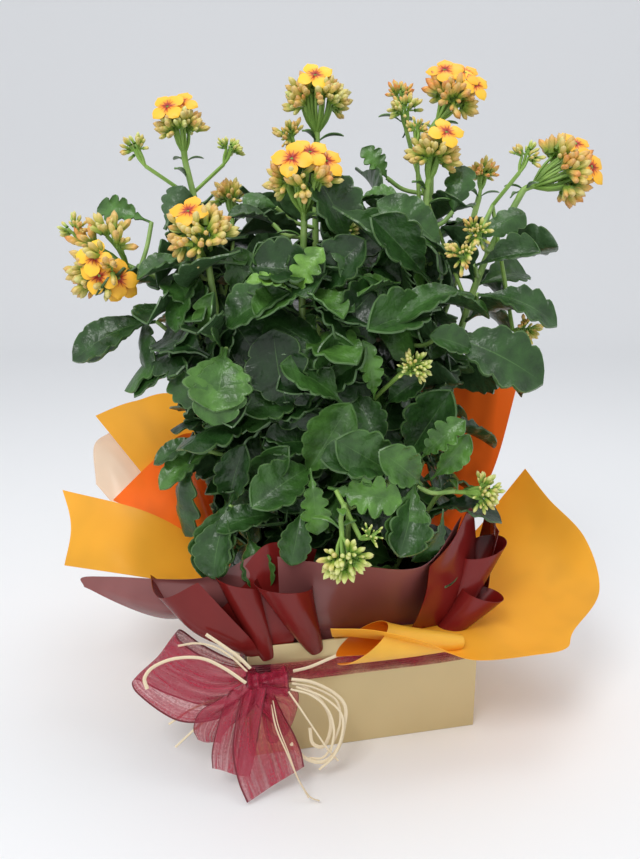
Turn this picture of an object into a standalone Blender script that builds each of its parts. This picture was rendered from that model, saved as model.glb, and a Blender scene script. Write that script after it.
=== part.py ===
"""A potted kalanchoe, dressed as a florist's gift.

The plant grows in a plastic nursery pot. The pot stands in a low square box of gold card.
Sheets of coloured film are tucked down between the pot and the box and flare out over its rim.
A wide organza ribbon goes round the box and ends in a bow at the front left corner,
and strands of raffia are tied in with the bow.

The origin is the centre of the box's underside. +Z is up, and the front of the box faces -Y.
Sizes in the tables below are in millimetres.
"""

import math

import bmesh
import bpy
from mathutils import Matrix, Vector

MM = 0.001

# ---------------------------------------------------------------- driving sizes

GAP = 0.3 * MM  # left between two pieces that touch

POT_RIM_RADIUS = 60.0 * MM
POT_FOOT_RADIUS = 44.0 * MM
POT_HEIGHT = 92.0 * MM
POT_WALL = 1.5 * MM
POT_BAND = 12.0 * MM  # height of the thick band under the pot's rim
POT_BAND_STEP = 1.5 * MM  # how far the band stands out of the pot's side
DRAIN_RADIUS = 6.0 * MM

SOIL_DROP = 11.0 * MM  # soil surface below the pot's rim
SOIL_DOME = 3.0 * MM  # middle of the soil above its edge

CARD = 1.5 * MM
FILM_ROOM = 8.5 * MM  # between the pot's rim and the box's wall, for the film
BOX_HEIGHT = 70.0 * MM

FILM = 0.8 * MM
FILM_LAYER = 1.7 * MM  # from the middle of one layer of film to the next
FILM_TUCK = 14.0 * MM  # how far the film goes down inside the box

RIBBON = 1.0 * MM
BAND_TOP = 61.0 * MM
BAND_WIDTH = 17.0 * MM

RAFFIA_RADIUS = 1.0 * MM

STEM_RADIUS = 2.6 * MM
LEAF = 1.4 * MM
LEAF_ARCH = 0.10  # rise of a leaf's middle, of its length
LEAF_FOLD = 0.25  # rise of a leaf's edges, of its half width
HEAD_FUNNEL = 0.6  # how much narrower a flower head is at its foot
PLANT_SCALE = 1.0  # of the plant's spread and height
CANOPY_CLEARANCE = 12.0 * MM  # the leaves that hang over the film start this far over the rim
DRAWN_BOX_HALF = 70.0 * MM  # the plant's places are drawn for a box of this half side

# ------------------------------------------------------------- sizes that follow

BOX_HALF = POT_RIM_RADIUS + FILM_ROOM + CARD
BOX_CORNER = Vector((-BOX_HALF, -BOX_HALF, 0))  # the front left one, at the floor
POT_FLOOR = CARD + GAP
SOIL_TOP = POT_FLOOR + POT_HEIGHT - SOIL_DROP
CANOPY_LEVEL = max(SOIL_TOP, BOX_HEIGHT + CANOPY_CLEARANCE)
CANOPY_SPREAD = PLANT_SCALE * BOX_HALF / DRAWN_BOX_HALF

# The film. Each sheet is a fan of ribs, and each rib is the list of points where it goes after
# it has left the box: (azimuth in degrees, reach outside the box's wall, height over its rim).
# The number after the name is the layer, 1 being next to the card.
FILM_SHEETS = {
    "burgundy_film_left": (1, "burgundy_film", [
        [(-162, 12, 6), (-157, 48, 13), (-172, 92, 24)],
        [(-153, 12, 9), (-153, 50, 22), (-174, 93, 28)],
        [(-144, 10, 16), (-149, 42, 29), (-169, 76, 32)],
        [(-138, 5, 22), (-140, 14, 38), (-146, 30, 42)],
        [(-136, 0, 24), (-134, 0, 42), (-133, -5, 56)],
    ]),
    "yellow_film_left": (2, "yellow_film", [
        [(-171, 22, 14), (-172, 60, 26), (178, 106, 27)],
        [(-179, 22, 20), (-179, 66, 36), (173, 103, 46)],
        [(170, 18, 30), (173, 55, 56), (168, 111, 67)],
    ]),
    "orange_film_back_left": (3, "orange_film", [
        [(160, 14, 16), (161, 44, 36), (162, 82, 54)],
        [(150, 12, 26), (149, 30, 56), (149, 56, 76)],
        [(135, 8, 30), (137, 18, 62), (138, 34, 90)],
        [(118, 8, 28), (118, 16, 58), (118, 28, 78)],
    ]),
    "yellow_film_back_left": (2, "yellow_film", [
        [(156, 26, 22), (154, 60, 62), (150, 104, 104)],
        [(146, 22, 32), (142, 50, 80), (142, 80, 112)],
        [(135, 18, 36), (132, 38, 86), (132, 56, 115)],
        [(113, 18, 34), (113, 32, 70), (114, 46, 84)],
    ]),
    "clear_film_back_left": (1, "clear_film", [
        [(165, 30, 12), (161, 74, 42), (157, 98, 60)],
        [(156, 32, 24), (153, 80, 70), (152, 104, 84)],
        [(142, 30, 30), (143, 72, 74), (145, 98, 90)],
    ]),
    "yellow_film_back": (1, "yellow_film", [
        [(124, 26, 14), (124, 46, 30), (125, 60, 40)],
        [(108, 26, 16), (108, 40, 38), (109, 52, 52)],
        [(92, 20, 20), (92, 32, 44), (92, 46, 60)],
        [(77, 22, 18), (77, 36, 46), (76, 48, 66)],
        [(64, 24, 12), (63, 42, 34), (61, 52, 56)],
    ]),
    "orange_film_back_right": (2, "orange_film", [
        [(73, 10, 30), (69, 18, 75), (64, 22, 112)],
        [(52, 10, 34), (50, 20, 86), (48, 28, 132)],
        [(34, 14, 36), (34, 30, 92), (33, 42, 138)],
        [(18, 18, 30), (20, 44, 82), (21, 58, 137)],
        [(7, 20, 24), (10, 50, 68), (13, 72, 130)],
    ]),
    "yellow_film_right": (1, "yellow_film", [
        [(12, 36, 18), (11, 62, 46), (9, 76, 66)],
        [(0, 36, 12), (0, 68, 32), (0, 82, 50)],
        [(-12, 34, 8), (-12, 72, 20), (-12, 92, 34)],
        [(-24, 30, 5), (-24, 64, 9), (-25, 88, 14)],
        [(-38, 16, 3), (-39, 40, 3), (-40, 60, 5)],
        [(-45, 12, 3), (-46, 34, 1), (-46, 54, 2)],
        [(-52, 14, 3), (-52, 34, 1), (-52, 52, 1)],
        [(-66, 14, 4), (-66, 30, 1), (-66, 43, 1)],
        [(-80, 14, 6), (-80, 30, 9), (-80, 42, 16)],
        [(-94, 13, 8), (-94, 28, 14), (-94, 40, 25)],
        [(-106, 12, 8), (-106, 24, 16), (-106, 36, 26)],
    ]),
    "burgundy_film_front": (2, "burgundy_film", [
        [(-125, 4, 22), (-125, 6, 42), (-125, 8, 56)],
        [(-114, 5, 20), (-114, 10, 40), (-114, 17, 56)],
        [(-97, 6, 20), (-97, 15, 38), (-97, 24, 55)],
        [(-76, 6, 20), (-76, 16, 38), (-76, 26, 53)],
        [(-58, 1, 22), (-57, 4, 48), (-53, 2, 70)],
    ]),
    "burgundy_film_right": (2, "burgundy_film", [
        [(-44, 4, 20), (-44, 6, 40), (-44, 10, 60)],
        [(-34, 9, 20), (-34, 16, 42), (-36, 15, 62)],
        [(-20, 10, 22), (-19, 18, 48), (-21, 19, 76)],
    ]),
}

FILM_COLOURS = {
    "yellow_film": (0.93, 0.52, 0.05),
    "orange_film": (0.85, 0.25, 0.03),
    "burgundy_film": (0.20, 0.02, 0.03),
    "clear_film": (0.85, 0.85, 0.85),
}

# The plant. Places are (x, y, height over the canopy's level, which is the soil unless the
# box's rim is higher). A head has a radius and a half height, and the direction in which it faces.
HEADS = {
    "flower_head_top_left": ((-92, 30, 276), 17, 15, (-0.1, -0.1, 1)),
    "flower_head_left": ((-136, -3, 200), 26, 15, (-0.8, -0.5, 0.3)),
    "flower_head_mid_left": ((-85, -34, 210), 19, 14, (-0.2, -0.5, 0.8)),
    "flower_head_rear_left": ((-62, 46, 238), 13, 11, (-0.1, 0.1, 1)),
    "flower_head_top_centre": ((-14, 4, 288), 20, 15, (0, -0.1, 1)),
    "flower_head_centre": ((-32, -44, 238), 20, 15, (-0.1, -0.3, 1)),
    "flower_head_top_right": ((64, -3, 292), 17, 15, (0.5, -0.2, 0.9)),
    "flower_head_upper_right": ((38, 9, 296), 9, 10, (-0.1, 0, 1)),
    "flower_head_inner_right": ((45, -31, 256), 15, 14, (0.1, -0.2, 1)),
    "flower_head_right": ((119, -36, 249), 21, 17, (0.8, -0.3, 0.4)),
    "bud_head_rear_right": ((100, 22, 254), 11, 10, (0.2, 0.1, 1)),
    "bud_head_front": ((20, -77, 144), 10, 15, (0.2, -0.9, 0.3)),
    "bud_head_low_right": ((58, -86, 76), 11, 11, (0.7, -0.8, 0.2)),
    "bud_head_low_front": ((-24, -108, 56), 13, 9, (0, -0.5, -0.8)),
}

# Each stem grows from a place on the soil through its points. Its last point may name a head.
STEMS = {
    "stem_top_left": ((-22, 22), [(-40, 26, 80), (-74, 30, 190)], "flower_head_top_left"),
    "stem_left": ((-34, 2), [(-62, 4, 90), (-100, 0, 180)], "flower_head_left"),
    "stem_mid_left": ((-30, -22), [(-52, -28, 80), (-74, -28, 150)], "flower_head_mid_left"),
    "stem_top_centre": ((0, 18), [(-6, 14, 100), (-14, 8, 200)], "flower_head_top_centre"),
    "stem_centre": ((-10, -20), [(-22, -24, 80), (-31, -36, 160)], "flower_head_centre"),
    "stem_top_right": ((22, 14), [(38, 10, 100), (54, 0, 210)], "flower_head_top_right"),
    "stem_inner_right": ((12, -14), [(24, -20, 90), (40, -28, 180)], "flower_head_inner_right"),
    "stem_right": ((34, -4), [(58, -8, 90), (80, -22, 190)], "flower_head_right"),
    "stem_rear_right": ((30, 30), [(54, 34, 90), (84, 28, 180)], "bud_head_rear_right"),
    "stem_low_right": ((26, -28), [(38, -44, 40), (46, -60, 68)], "bud_head_low_right"),
    "stem_low_front": ((-6, -40), [(-12, -70, 60), (-22, -98, 78)], "bud_head_low_front"),
}

# The largest leaves: where the leaf starts, where its tip is, its width, and the way its
# upper side faces.
LEAVES = {
    "leaf_left": ((-112, 0, 166), (-158, -18, 156), 26, (0, -0.7, 0.7)),
    "leaf_left_low": ((-88, -11, 142), (-127, -19, 136), 24, (0, -0.3, 1)),
    "leaf_left_spike": ((-112, 19, 223), (-144, 25, 234), 18, (0, -1, 0.4)),
    "leaf_left_drooping": ((-92, -30, 96), (-116, -40, 52), 26, (-0.8, -0.5, 0.3)),
    "leaf_left_bottom": ((-76, -52, 66), (-90, -71, 34), 28, (-0.5, -0.7, 0.4)),
    "leaf_left_bright": ((-75, -46, 154), (-84, -70, 122), 34, (0, -0.8, 0.6)),
    "leaf_right_upper": ((68, -44, 198), (95, -66, 206), 20, (0, -0.8, 0.6)),
    "leaf_right": ((66, -54, 182), (102, -80, 176), 26, (0, -0.7, 0.7)),
    "leaf_right_dark": ((42, -58, 160), (86, -96, 146), 38, (0, -0.9, 0.4)),
    "leaf_front_low": ((12, -74, 84), (-22, -90, 108), 32, (0, -0.6, 0.8)),
    "leaf_front_right": ((22, -84, 82), (8, -102, 50), 26, (0, -0.9, 0.4)),
}

# The bow, from the box's front left corner at the floor. Its knot and loops are lumps with a
# middle, half sizes and a turn about Z. Its tail is three edges, each a list of points.
BOW_LUMPS = {
    "bow_knot": ((9, -12, 54), (12, 7, 8), 0),
    "bow_loop_left": ((-37, 2, 50), (31, 8, 25), 12),
    "bow_loop_right": ((18, -15, 29), (11, 5, 16), 0),
}
BOW_TAIL = [
    [(-4, -13, 44), (-16, -16, 30), (-22, -22, 18)],
    [(1, -14, 43), (-4, -22, 26), (-6, -36, 4)],
    [(6, -15, 42), (6, -26, 26), (12, -34, 12)],
]

# The raffia: each strand is the list of points that it goes through, from the same corner.
RAFFIA = {
    "raffia_loop_outer": [(22, -18, 59), (33, -20, 57), (45, -22, 50), (51, -24, 42), (50, -26, 31),
                          (46, -28, 19), (38, -28, 12), (28, -27, 15), (20, -26, 25)],
    "raffia_loop_inner": [(23, -14, 54), (30, -15, 51), (38, -18, 44), (43, -20, 35), (43, -22, 26),
                          (39, -23, 18), (33, -22, 20), (32, -19, 28)],
    "raffia_tail": [(10, -21, 47), (12, -27, 36), (17, -34, 24), (22, -40, 12), (27, -43, 4),
                    (32, -45, 2)],
    "raffia_loop_left": [(-3, -18, 60), (-14, -16, 69), (-26, -15, 76), (-40, -14, 77),
                         (-51, -13, 73), (-56, -13, 67), (-55, -14, 61)],
    "raffia_stub": [(24, -12, 60), (33, -13, 62), (43, -14, 66), (54, -16, 71)],
    "raffia_strand_left": [(0, -14, 66), (-6, -13, 73), (-14, -12, 80), (-23, -10, 87)],
}


# ------------------------------------------------------------------- helpers


def clear_scene():
    for obj in list(bpy.data.objects):
        bpy.data.objects.remove(obj, do_unlink=True)


def new_collection(name):
    made = bpy.data.collections.new(name)
    bpy.context.scene.collection.children.link(made)
    return made


def material(name, colour, roughness, metallic=0.0):
    """A Principled BSDF, made once for each name."""
    if name in bpy.data.materials:
        return bpy.data.materials[name]
    made = bpy.data.materials.new(name)
    made.use_nodes = True
    shader = made.node_tree.nodes["Principled BSDF"]
    shader.inputs["Base Color"].default_value = (*colour, 1.0)
    shader.inputs["Roughness"].default_value = roughness
    shader.inputs["Metallic"].default_value = metallic
    return made


def keep(obj, name, look):
    """Names a finished piece, gives it its material and moves it to the object's collection."""
    obj.name = name
    obj.data.name = name
    obj.data.materials.clear()
    obj.data.materials.append(look)
    for home in list(obj.users_collection):
        home.objects.unlink(obj)
    bpy.data.collections["potted_kalanchoe"].objects.link(obj)
    return obj


def shade(obj, angle=40.0):
    obj.data.shade_smooth()
    obj.data.set_sharp_from_angle(angle=math.radians(angle))


def plant_point(place):
    """A point of the plant, from its place over the canopy's level."""
    x, y, up = place
    across = Vector((x, y, 0)) * MM * CANOPY_SPREAD
    return across + Vector((0, 0, up * MM * PLANT_SCALE + CANOPY_LEVEL))


def between(points, t):
    """The point at t, 0 to 1, on the smooth curve through the points."""
    last = len(points) - 1
    i = min(int(t * last), last - 1)
    f = t * last - i
    p1, p2 = points[i], points[i + 1]
    p0 = points[i - 1] if i > 0 else p1 * 2 - p2
    p3 = points[i + 2] if i + 2 <= last else p2 * 2 - p1
    return (
        p1 * 2
        + (p2 - p0) * f
        + (p0 * 2 - p1 * 5 + p2 * 4 - p3) * f**2
        + (p1 * 3 - p0 - p2 * 3 + p3) * f**3
    ) / 2


def straight_between(points, t):
    """The point at t, 0 to 1, on the straight runs between the points."""
    last = len(points) - 1
    i = min(int(t * last), last - 1)
    return points[i].lerp(points[i + 1], t * last - i)


def bent_grid(name, across, along, place, thickness, look):
    """A flat grid whose points go where place(u, v) says, given a thickness."""
    bpy.ops.mesh.primitive_grid_add(x_subdivisions=across, y_subdivisions=along, size=1)
    obj = bpy.context.object
    for vertex in obj.data.vertices:
        vertex.co = place(vertex.co.x + 0.5, vertex.co.y + 0.5)
    wall = obj.modifiers.new("thickness", "SOLIDIFY")
    wall.thickness = thickness
    wall.offset = 0.0
    shade(obj)
    return keep(obj, name, look)


def tube(name, points, radius, samples, look):
    """A round rod along the smooth curve through the points."""
    curve = bpy.data.curves.new(name, "CURVE")
    curve.dimensions = "3D"
    curve.bevel_depth = radius
    curve.bevel_resolution = 2
    curve.use_fill_caps = True
    spline = curve.splines.new("POLY")
    spline.points.add(samples - 1)
    for i, point in enumerate(spline.points):
        point.co = (*between(points, i / (samples - 1)), 1.0)
    obj = bpy.data.objects.new(name, curve)
    bpy.context.scene.collection.objects.link(obj)
    return keep(obj, name, look)


# ------------------------------------------------------------- box, pot and soil


def make_box():
    """An open square box: a cube without its top face, with walls of card inside it."""
    bpy.ops.mesh.primitive_cube_add(size=1, location=(0, 0, BOX_HEIGHT / 2))
    obj = bpy.context.object
    obj.scale = (2 * BOX_HALF, 2 * BOX_HALF, BOX_HEIGHT)
    bpy.ops.object.transform_apply(location=True, rotation=True, scale=True)
    mesh = bmesh.new()
    mesh.from_mesh(obj.data)
    top = [face for face in mesh.faces if face.normal.z > 0.5]
    bmesh.ops.delete(mesh, geom=top, context="FACES_ONLY")
    mesh.to_mesh(obj.data)
    mesh.free()
    wall = obj.modifiers.new("card", "SOLIDIFY")
    wall.thickness = CARD
    wall.offset = -1.0
    wall.use_even_offset = True
    keep(obj, "gift_box", material("gold_card", (0.55, 0.45, 0.24), 0.4, 0.35))


def turned(name, profile, look, steps=32):
    """A solid of revolution from (radius, height) points, down the outside and up the inside."""
    mesh = bpy.data.meshes.new(name)
    points = [(radius, 0.0, height) for radius, height in profile]
    edges = [(i, i + 1) for i in range(len(points) - 1)]
    if profile[0][0] > 0:
        edges.append((len(points) - 1, 0))
    mesh.from_pydata(points, edges, [])
    obj = bpy.data.objects.new(name, mesh)
    bpy.context.scene.collection.objects.link(obj)
    screw = obj.modifiers.new("turn", "SCREW")
    screw.steps = steps
    screw.render_steps = steps
    screw.use_merge_vertices = True
    screw.merge_threshold = 0.00001
    shade(obj)
    return keep(obj, name, look)


def make_pot():
    foot = POT_FLOOR
    rim = foot + POT_HEIGHT
    side = POT_RIM_RADIUS - POT_BAND_STEP
    band = rim - POT_BAND
    profile = [
        (POT_RIM_RADIUS, rim),
        (POT_RIM_RADIUS, band),
        (side, band),
        (POT_FOOT_RADIUS, foot),
        (DRAIN_RADIUS, foot),
        (DRAIN_RADIUS, foot + POT_WALL),
        (POT_FOOT_RADIUS - POT_WALL, foot + POT_WALL),
        (side - POT_WALL, rim),
    ]
    turned("nursery_pot", profile, material("pot_plastic", (0.05, 0.04, 0.035), 0.55))


def make_soil():
    """The root ball fills the pot up to the soil's surface, a little domed in the middle."""
    low = POT_FLOOR + POT_WALL + GAP
    inner_foot = POT_FOOT_RADIUS - POT_WALL
    inner_rim = POT_RIM_RADIUS - POT_BAND_STEP - POT_WALL
    slope = (inner_rim - inner_foot) / (POT_HEIGHT - POT_WALL)
    clear = GAP * 1.5
    edge = SOIL_TOP - SOIL_DOME
    profile = [
        (0.0, SOIL_TOP - GAP),
        (inner_foot * 0.6, SOIL_TOP - SOIL_DOME / 3),
        (inner_foot + slope * (edge - low) - clear, edge),
        (inner_foot - clear, low),
        (0.0, low),
    ]
    turned("potting_soil", profile, material("soil", (0.05, 0.03, 0.02), 0.95))


# ------------------------------------------------------------------------ film


def film_point(azimuth, reach, up, inset=0.0):
    """A point of the film: this far outside the box's wall, and this high over its rim.

    An inset starts from a smaller square, that far inside the wall.
    """
    angle = math.radians(azimuth)
    heading = Vector((math.cos(angle), math.sin(angle), 0))
    wall = (BOX_HALF - inset) / max(abs(heading.x), abs(heading.y))
    return heading * (wall + reach) + Vector((0, 0, BOX_HEIGHT + up))


def film_rib(layer, points):
    """A whole rib: tucked in beside the card, over the rim, and out through its points."""
    inset = CARD + layer * FILM_LAYER
    root = points[0][0]
    rib = [film_point(root, 0.0, -FILM_TUCK, inset), film_point(root, 0.0, FILM * 3, inset)]
    return rib + [film_point(a, reach * MM, up * MM) for a, reach, up in points]


FILM_ROWS = 8  # of faces along each rib; the first is held straight inside the box


def rib_at(rib, v):
    """The point at v, 0 to 1, along a rib that is straight down to its root in the box."""
    tucked = 1 / FILM_ROWS
    if v < tucked:
        return rib[0].lerp(rib[1], v / tucked)
    return between(rib[1:], (v - tucked) / (1 - tucked))


def make_film():
    for name, (layer, colour, ribs) in FILM_SHEETS.items():
        curves = [film_rib(layer, points) for points in ribs]

        def place(u, v, curves=curves):
            row = [rib_at(curve, v) for curve in curves]
            free = min(1.0, max(0.0, v * FILM_ROWS / 2 - 0.5))
            return straight_between(row, u).lerp(between(row, u), free)

        across = 2 * (len(ribs) - 1)
        look = material(colour, FILM_COLOURS[colour], 0.15)
        bent_grid(name, across, FILM_ROWS, place, FILM, look)


# ------------------------------------------------------------- ribbon and raffia


def make_band():
    """The ribbon round the box: the sides of a square, given a thickness outwards."""
    half = BOX_HALF + GAP
    bpy.ops.mesh.primitive_cube_add(size=1, location=(0, 0, BAND_TOP - BAND_WIDTH / 2))
    obj = bpy.context.object
    obj.scale = (2 * half, 2 * half, BAND_WIDTH)
    bpy.ops.object.transform_apply(location=True, rotation=True, scale=True)
    mesh = bmesh.new()
    mesh.from_mesh(obj.data)
    ends = [face for face in mesh.faces if abs(face.normal.z) > 0.5]
    bmesh.ops.delete(mesh, geom=ends, context="FACES_ONLY")
    mesh.to_mesh(obj.data)
    mesh.free()
    wall = obj.modifiers.new("ribbon", "SOLIDIFY")
    wall.thickness = RIBBON
    wall.offset = 1.0
    wall.use_even_offset = True
    keep(obj, "ribbon_band", organza())


def organza():
    return material("organza", (0.35, 0.02, 0.06), 0.5)


def ball(name, centre, sizes, turn, look, funnel=0.0, subdivisions=2):
    """A round lump of these half sizes. Funnel draws its lower half in towards the bottom."""
    bpy.ops.mesh.primitive_ico_sphere_add(subdivisions=subdivisions, radius=1)
    obj = bpy.context.object
    for vertex in obj.data.vertices:
        low = max(0.0, -vertex.co.z)
        vertex.co.x *= 1 - funnel * low
        vertex.co.y *= 1 - funnel * low
    obj.data.transform(turn.to_4x4() @ Matrix.Diagonal((*sizes, 1)))
    obj.location = centre
    shade(obj, 60)
    return keep(obj, name, look)


def make_bow():
    look = organza()
    for name, (middle, sizes, turn) in BOW_LUMPS.items():
        spin = Matrix.Rotation(math.radians(turn), 3, "Z")
        ball(name, BOX_CORNER + Vector(middle) * MM, Vector(sizes) * MM, spin, look)
    curves = [[BOX_CORNER + Vector(point) * MM for point in edge] for edge in BOW_TAIL]

    def place(u, v):
        return between([between(curve, v) for curve in curves], u)

    bent_grid("bow_tail", 4, 4, place, RIBBON, look)


def make_raffia():
    look = material("raffia", (0.80, 0.68, 0.45), 0.6)
    for name, points in RAFFIA.items():
        route = [BOX_CORNER + Vector(point) * MM for point in points]
        length = sum((b - a).length for a, b in zip(route, route[1:]))
        samples = min(80, max(8, round(length / (5 * RAFFIA_RADIUS))))
        tube(name, route, RAFFIA_RADIUS, samples, look)


# ----------------------------------------------------------------------- plant


def make_heads():
    look = material("petals_and_buds", (0.85, 0.55, 0.12), 0.5)
    for name, (place, radius, half_height, facing) in HEADS.items():
        sizes = Vector((radius, radius, half_height)) * MM * PLANT_SCALE
        turn = Vector(facing).to_track_quat("Z", "Y").to_matrix()
        ball(name, plant_point(place), sizes, turn, look, funnel=HEAD_FUNNEL)


def make_stems():
    look = material("stem", (0.25, 0.42, 0.12), 0.5)
    for name, ((x, y), points, head) in STEMS.items():
        place, radius, half_height, facing = HEADS[head]
        foot = Vector((x * MM * CANOPY_SPREAD, y * MM * CANOPY_SPREAD, SOIL_TOP + GAP))
        down = Vector(facing).normalized() * (half_height * MM * PLANT_SCALE + STEM_RADIUS)
        top = plant_point(place) - down
        route = [foot] + [plant_point(point) for point in points] + [top]
        tube(name, route, STEM_RADIUS, 9, look)


def leaf_width(t):
    """Half of a leaf's width along its length, from its stalk at 0 to its tip at 1."""
    return 0.10 + 0.90 * math.sin(math.pi * min(1.0, 0.06 + 0.84 * t)) ** 1.3


def make_leaves():
    look = material("leaf", (0.03, 0.13, 0.03), 0.35)
    for name, (start, tip, width, facing) in LEAVES.items():
        base = plant_point(start)
        length = plant_point(tip) - base
        side = length.cross(Vector(facing)).normalized()
        upper = side.cross(length).normalized()
        half = width * MM * PLANT_SCALE / 2
        arch = length.length * LEAF_ARCH
        fold = half * LEAF_FOLD

        def place(
            u, v, base=base, length=length, side=side, upper=upper, half=half, arch=arch, fold=fold
        ):
            across = 2 * u - 1
            rise = arch * math.sin(math.pi * v) + fold * abs(across) * leaf_width(v)
            return base + length * v + side * across * half * leaf_width(v) + upper * rise

        bent_grid(name, 2, 6, place, LEAF, look)


def main():
    clear_scene()
    new_collection("potted_kalanchoe")
    make_box()
    make_pot()
    make_soil()
    make_film()
    make_band()
    make_bow()
    make_raffia()
    make_stems()
    make_heads()
    make_leaves()


main()
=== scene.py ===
# %% [markdown]
# # A potted kalanchoe in its gift wrapping
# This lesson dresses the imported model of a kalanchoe. The plant stands in a plastic pot, inside a
# low box of gold card. Coloured film flares out of the box, and an organza ribbon with a bow and
# raffia goes round it. Each cell makes one kind of piece, and prints what it made.

# %% Start
import math
import random

import bpy
import numpy as np
from mathutils import Matrix, Vector


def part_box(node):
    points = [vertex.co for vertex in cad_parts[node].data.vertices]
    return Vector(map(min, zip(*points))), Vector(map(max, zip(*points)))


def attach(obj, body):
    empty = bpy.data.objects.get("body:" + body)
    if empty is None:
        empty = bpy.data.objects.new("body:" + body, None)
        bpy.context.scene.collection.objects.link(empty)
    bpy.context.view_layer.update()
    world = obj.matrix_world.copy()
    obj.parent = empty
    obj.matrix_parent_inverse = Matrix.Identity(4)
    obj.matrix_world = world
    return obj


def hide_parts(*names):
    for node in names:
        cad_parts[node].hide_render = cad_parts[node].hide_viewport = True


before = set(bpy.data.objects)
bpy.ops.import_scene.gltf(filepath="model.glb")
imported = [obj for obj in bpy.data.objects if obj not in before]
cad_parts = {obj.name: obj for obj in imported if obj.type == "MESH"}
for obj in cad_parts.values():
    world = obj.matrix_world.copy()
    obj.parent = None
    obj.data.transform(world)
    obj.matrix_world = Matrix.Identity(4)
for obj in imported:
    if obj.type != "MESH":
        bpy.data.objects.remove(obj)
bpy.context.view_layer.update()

MM = 0.001

# %% [markdown]
# ## The camera
# It looks down a little, from in front of the box and to its left, so that the box's front left
# corner comes first. The lens is a moderate wide one.

# %% Camera
bpy.ops.object.select_all(action="DESELECT")
bpy.ops.object.camera_add(
    location=(-0.1041, -0.4273, 0.279),
    rotation=(math.radians(77), 0, math.radians(-12)),
)
camera = bpy.context.object
camera.data.sensor_fit = "VERTICAL"
camera.data.sensor_height = 36
camera.data.lens = 29.34
camera.data.clip_start = 0.01
bpy.context.scene.camera = camera
bpy.context.scene.view_settings.view_transform = "Standard"

# %% [markdown]
# ## The studio
# A pale floor curves up into a pale grey wall, so that there is no hard line behind the plant. The
# wall stands well back, so that the plant can be looked at from behind as well.
# The light is soft: a bright sky all round, and a wide lamp over the left shoulder.

# %% Studio
FLOOR_HALF = 3.2
WALL_START = 2.6
WALL_BEND = 0.7
WALL_HEIGHT = 3.2


def backdrop_profile(t):
    """The sweep's section: forward to back along the floor, then up the wall."""
    floor_end = WALL_START - WALL_BEND
    if t < 0.5:
        return (-FLOOR_HALF + (floor_end + FLOOR_HALF) * t / 0.5, 0.0)
    if t < 0.7:
        turn = (t - 0.5) / 0.2 * math.pi / 2
        return (floor_end + WALL_BEND * math.sin(turn), WALL_BEND * (1 - math.cos(turn)))
    return (WALL_START, WALL_BEND + (WALL_HEIGHT - WALL_BEND) * (t - 0.7) / 0.3)


bpy.ops.mesh.primitive_grid_add(x_subdivisions=2, y_subdivisions=60, size=1)
floor = bpy.context.object
for vertex in floor.data.vertices:
    y, z = backdrop_profile(vertex.co.y + 0.5)
    vertex.co = (vertex.co.x * 2 * FLOOR_HALF, y, z)
floor.data.transform(Matrix.Rotation(math.radians(-12), 4, "Z"))
bpy.ops.object.shade_smooth()
floor.name = "studio_floor"

studio_look = bpy.data.materials.new("studio_paint")
studio_look.use_nodes = True
shader = studio_look.node_tree.nodes["Principled BSDF"]
shader.inputs["Base Color"].default_value = (0.86, 0.865, 0.875, 1)
shader.inputs["Roughness"].default_value = 0.85
floor.data.materials.append(studio_look)

world = bpy.data.worlds.new("studio_sky")
world.use_nodes = True
world.node_tree.nodes["Background"].inputs["Color"].default_value = (0.95, 0.97, 1.0, 1)
world.node_tree.nodes["Background"].inputs["Strength"].default_value = 0.80
bpy.context.scene.world = world


def add_lamp(name, place, target, size, power):
    bpy.ops.object.light_add(type="AREA", location=place)
    lamp = bpy.context.object
    lamp.name = name
    lamp.data.size = size
    lamp.data.energy = power
    aim = Vector(target) - Vector(place)
    lamp.rotation_euler = aim.to_track_quat("-Z", "Y").to_euler()


add_lamp("key_lamp", (-0.55, -0.75, 1.15), (0, 0, 0.18), 0.45, 7.5)
add_lamp("top_lamp", (0.25, 0.05, 1.30), (0, 0, 0.15), 0.6, 2.5)
print("camera, floor and two lamps")

# %% [markdown]
# ## Small tools
# Most of the plant is a few small shapes that are repeated. A shape is modelled once as an
# object, and read into plain arrays. Copies of it are then placed, and gathered into one mesh,
# with a tone for each copy so that no two look quite alike.

# %% Tools

def between(points, t):
    """The point at t, 0 to 1, on the smooth curve through the points."""
    last = len(points) - 1
    i = min(int(t * last), last - 1)
    f = t * last - i
    p1, p2 = points[i], points[i + 1]
    p0 = points[i - 1] if i > 0 else p1 * 2 - p2
    p3 = points[i + 2] if i + 2 <= last else p2 * 2 - p1
    return (
        p1 * 2
        + (p2 - p0) * f
        + (p0 * 2 - p1 * 5 + p2 * 4 - p3) * f**2
        + (p1 * 3 - p0 - p2 * 3 + p3) * f**3
    ) / 2


def straight_between(points, t):
    """The point at t, 0 to 1, on the straight runs between the points."""
    last = len(points) - 1
    i = min(int(t * last), last - 1)
    return points[i].lerp(points[i + 1], t * last - i)


def blend01(low, high, value):
    """0 below low, 1 above high, and smooth in between."""
    f = min(1.0, max(0.0, (value - low) / (high - low)))
    return f * f * (3 - 2 * f)


class Shape:
    """Points, faces, a UV and an underside mark for each point, and a material number."""

    def __init__(self, points, faces, uvs, under=None, look=0):
        self.points = np.array(points, float)
        self.faces = [tuple(face) for face in faces]
        self.uvs = np.array(uvs, float)
        self.under = np.zeros(len(self.points)) if under is None else np.array(under, float)
        self.look = look


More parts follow.
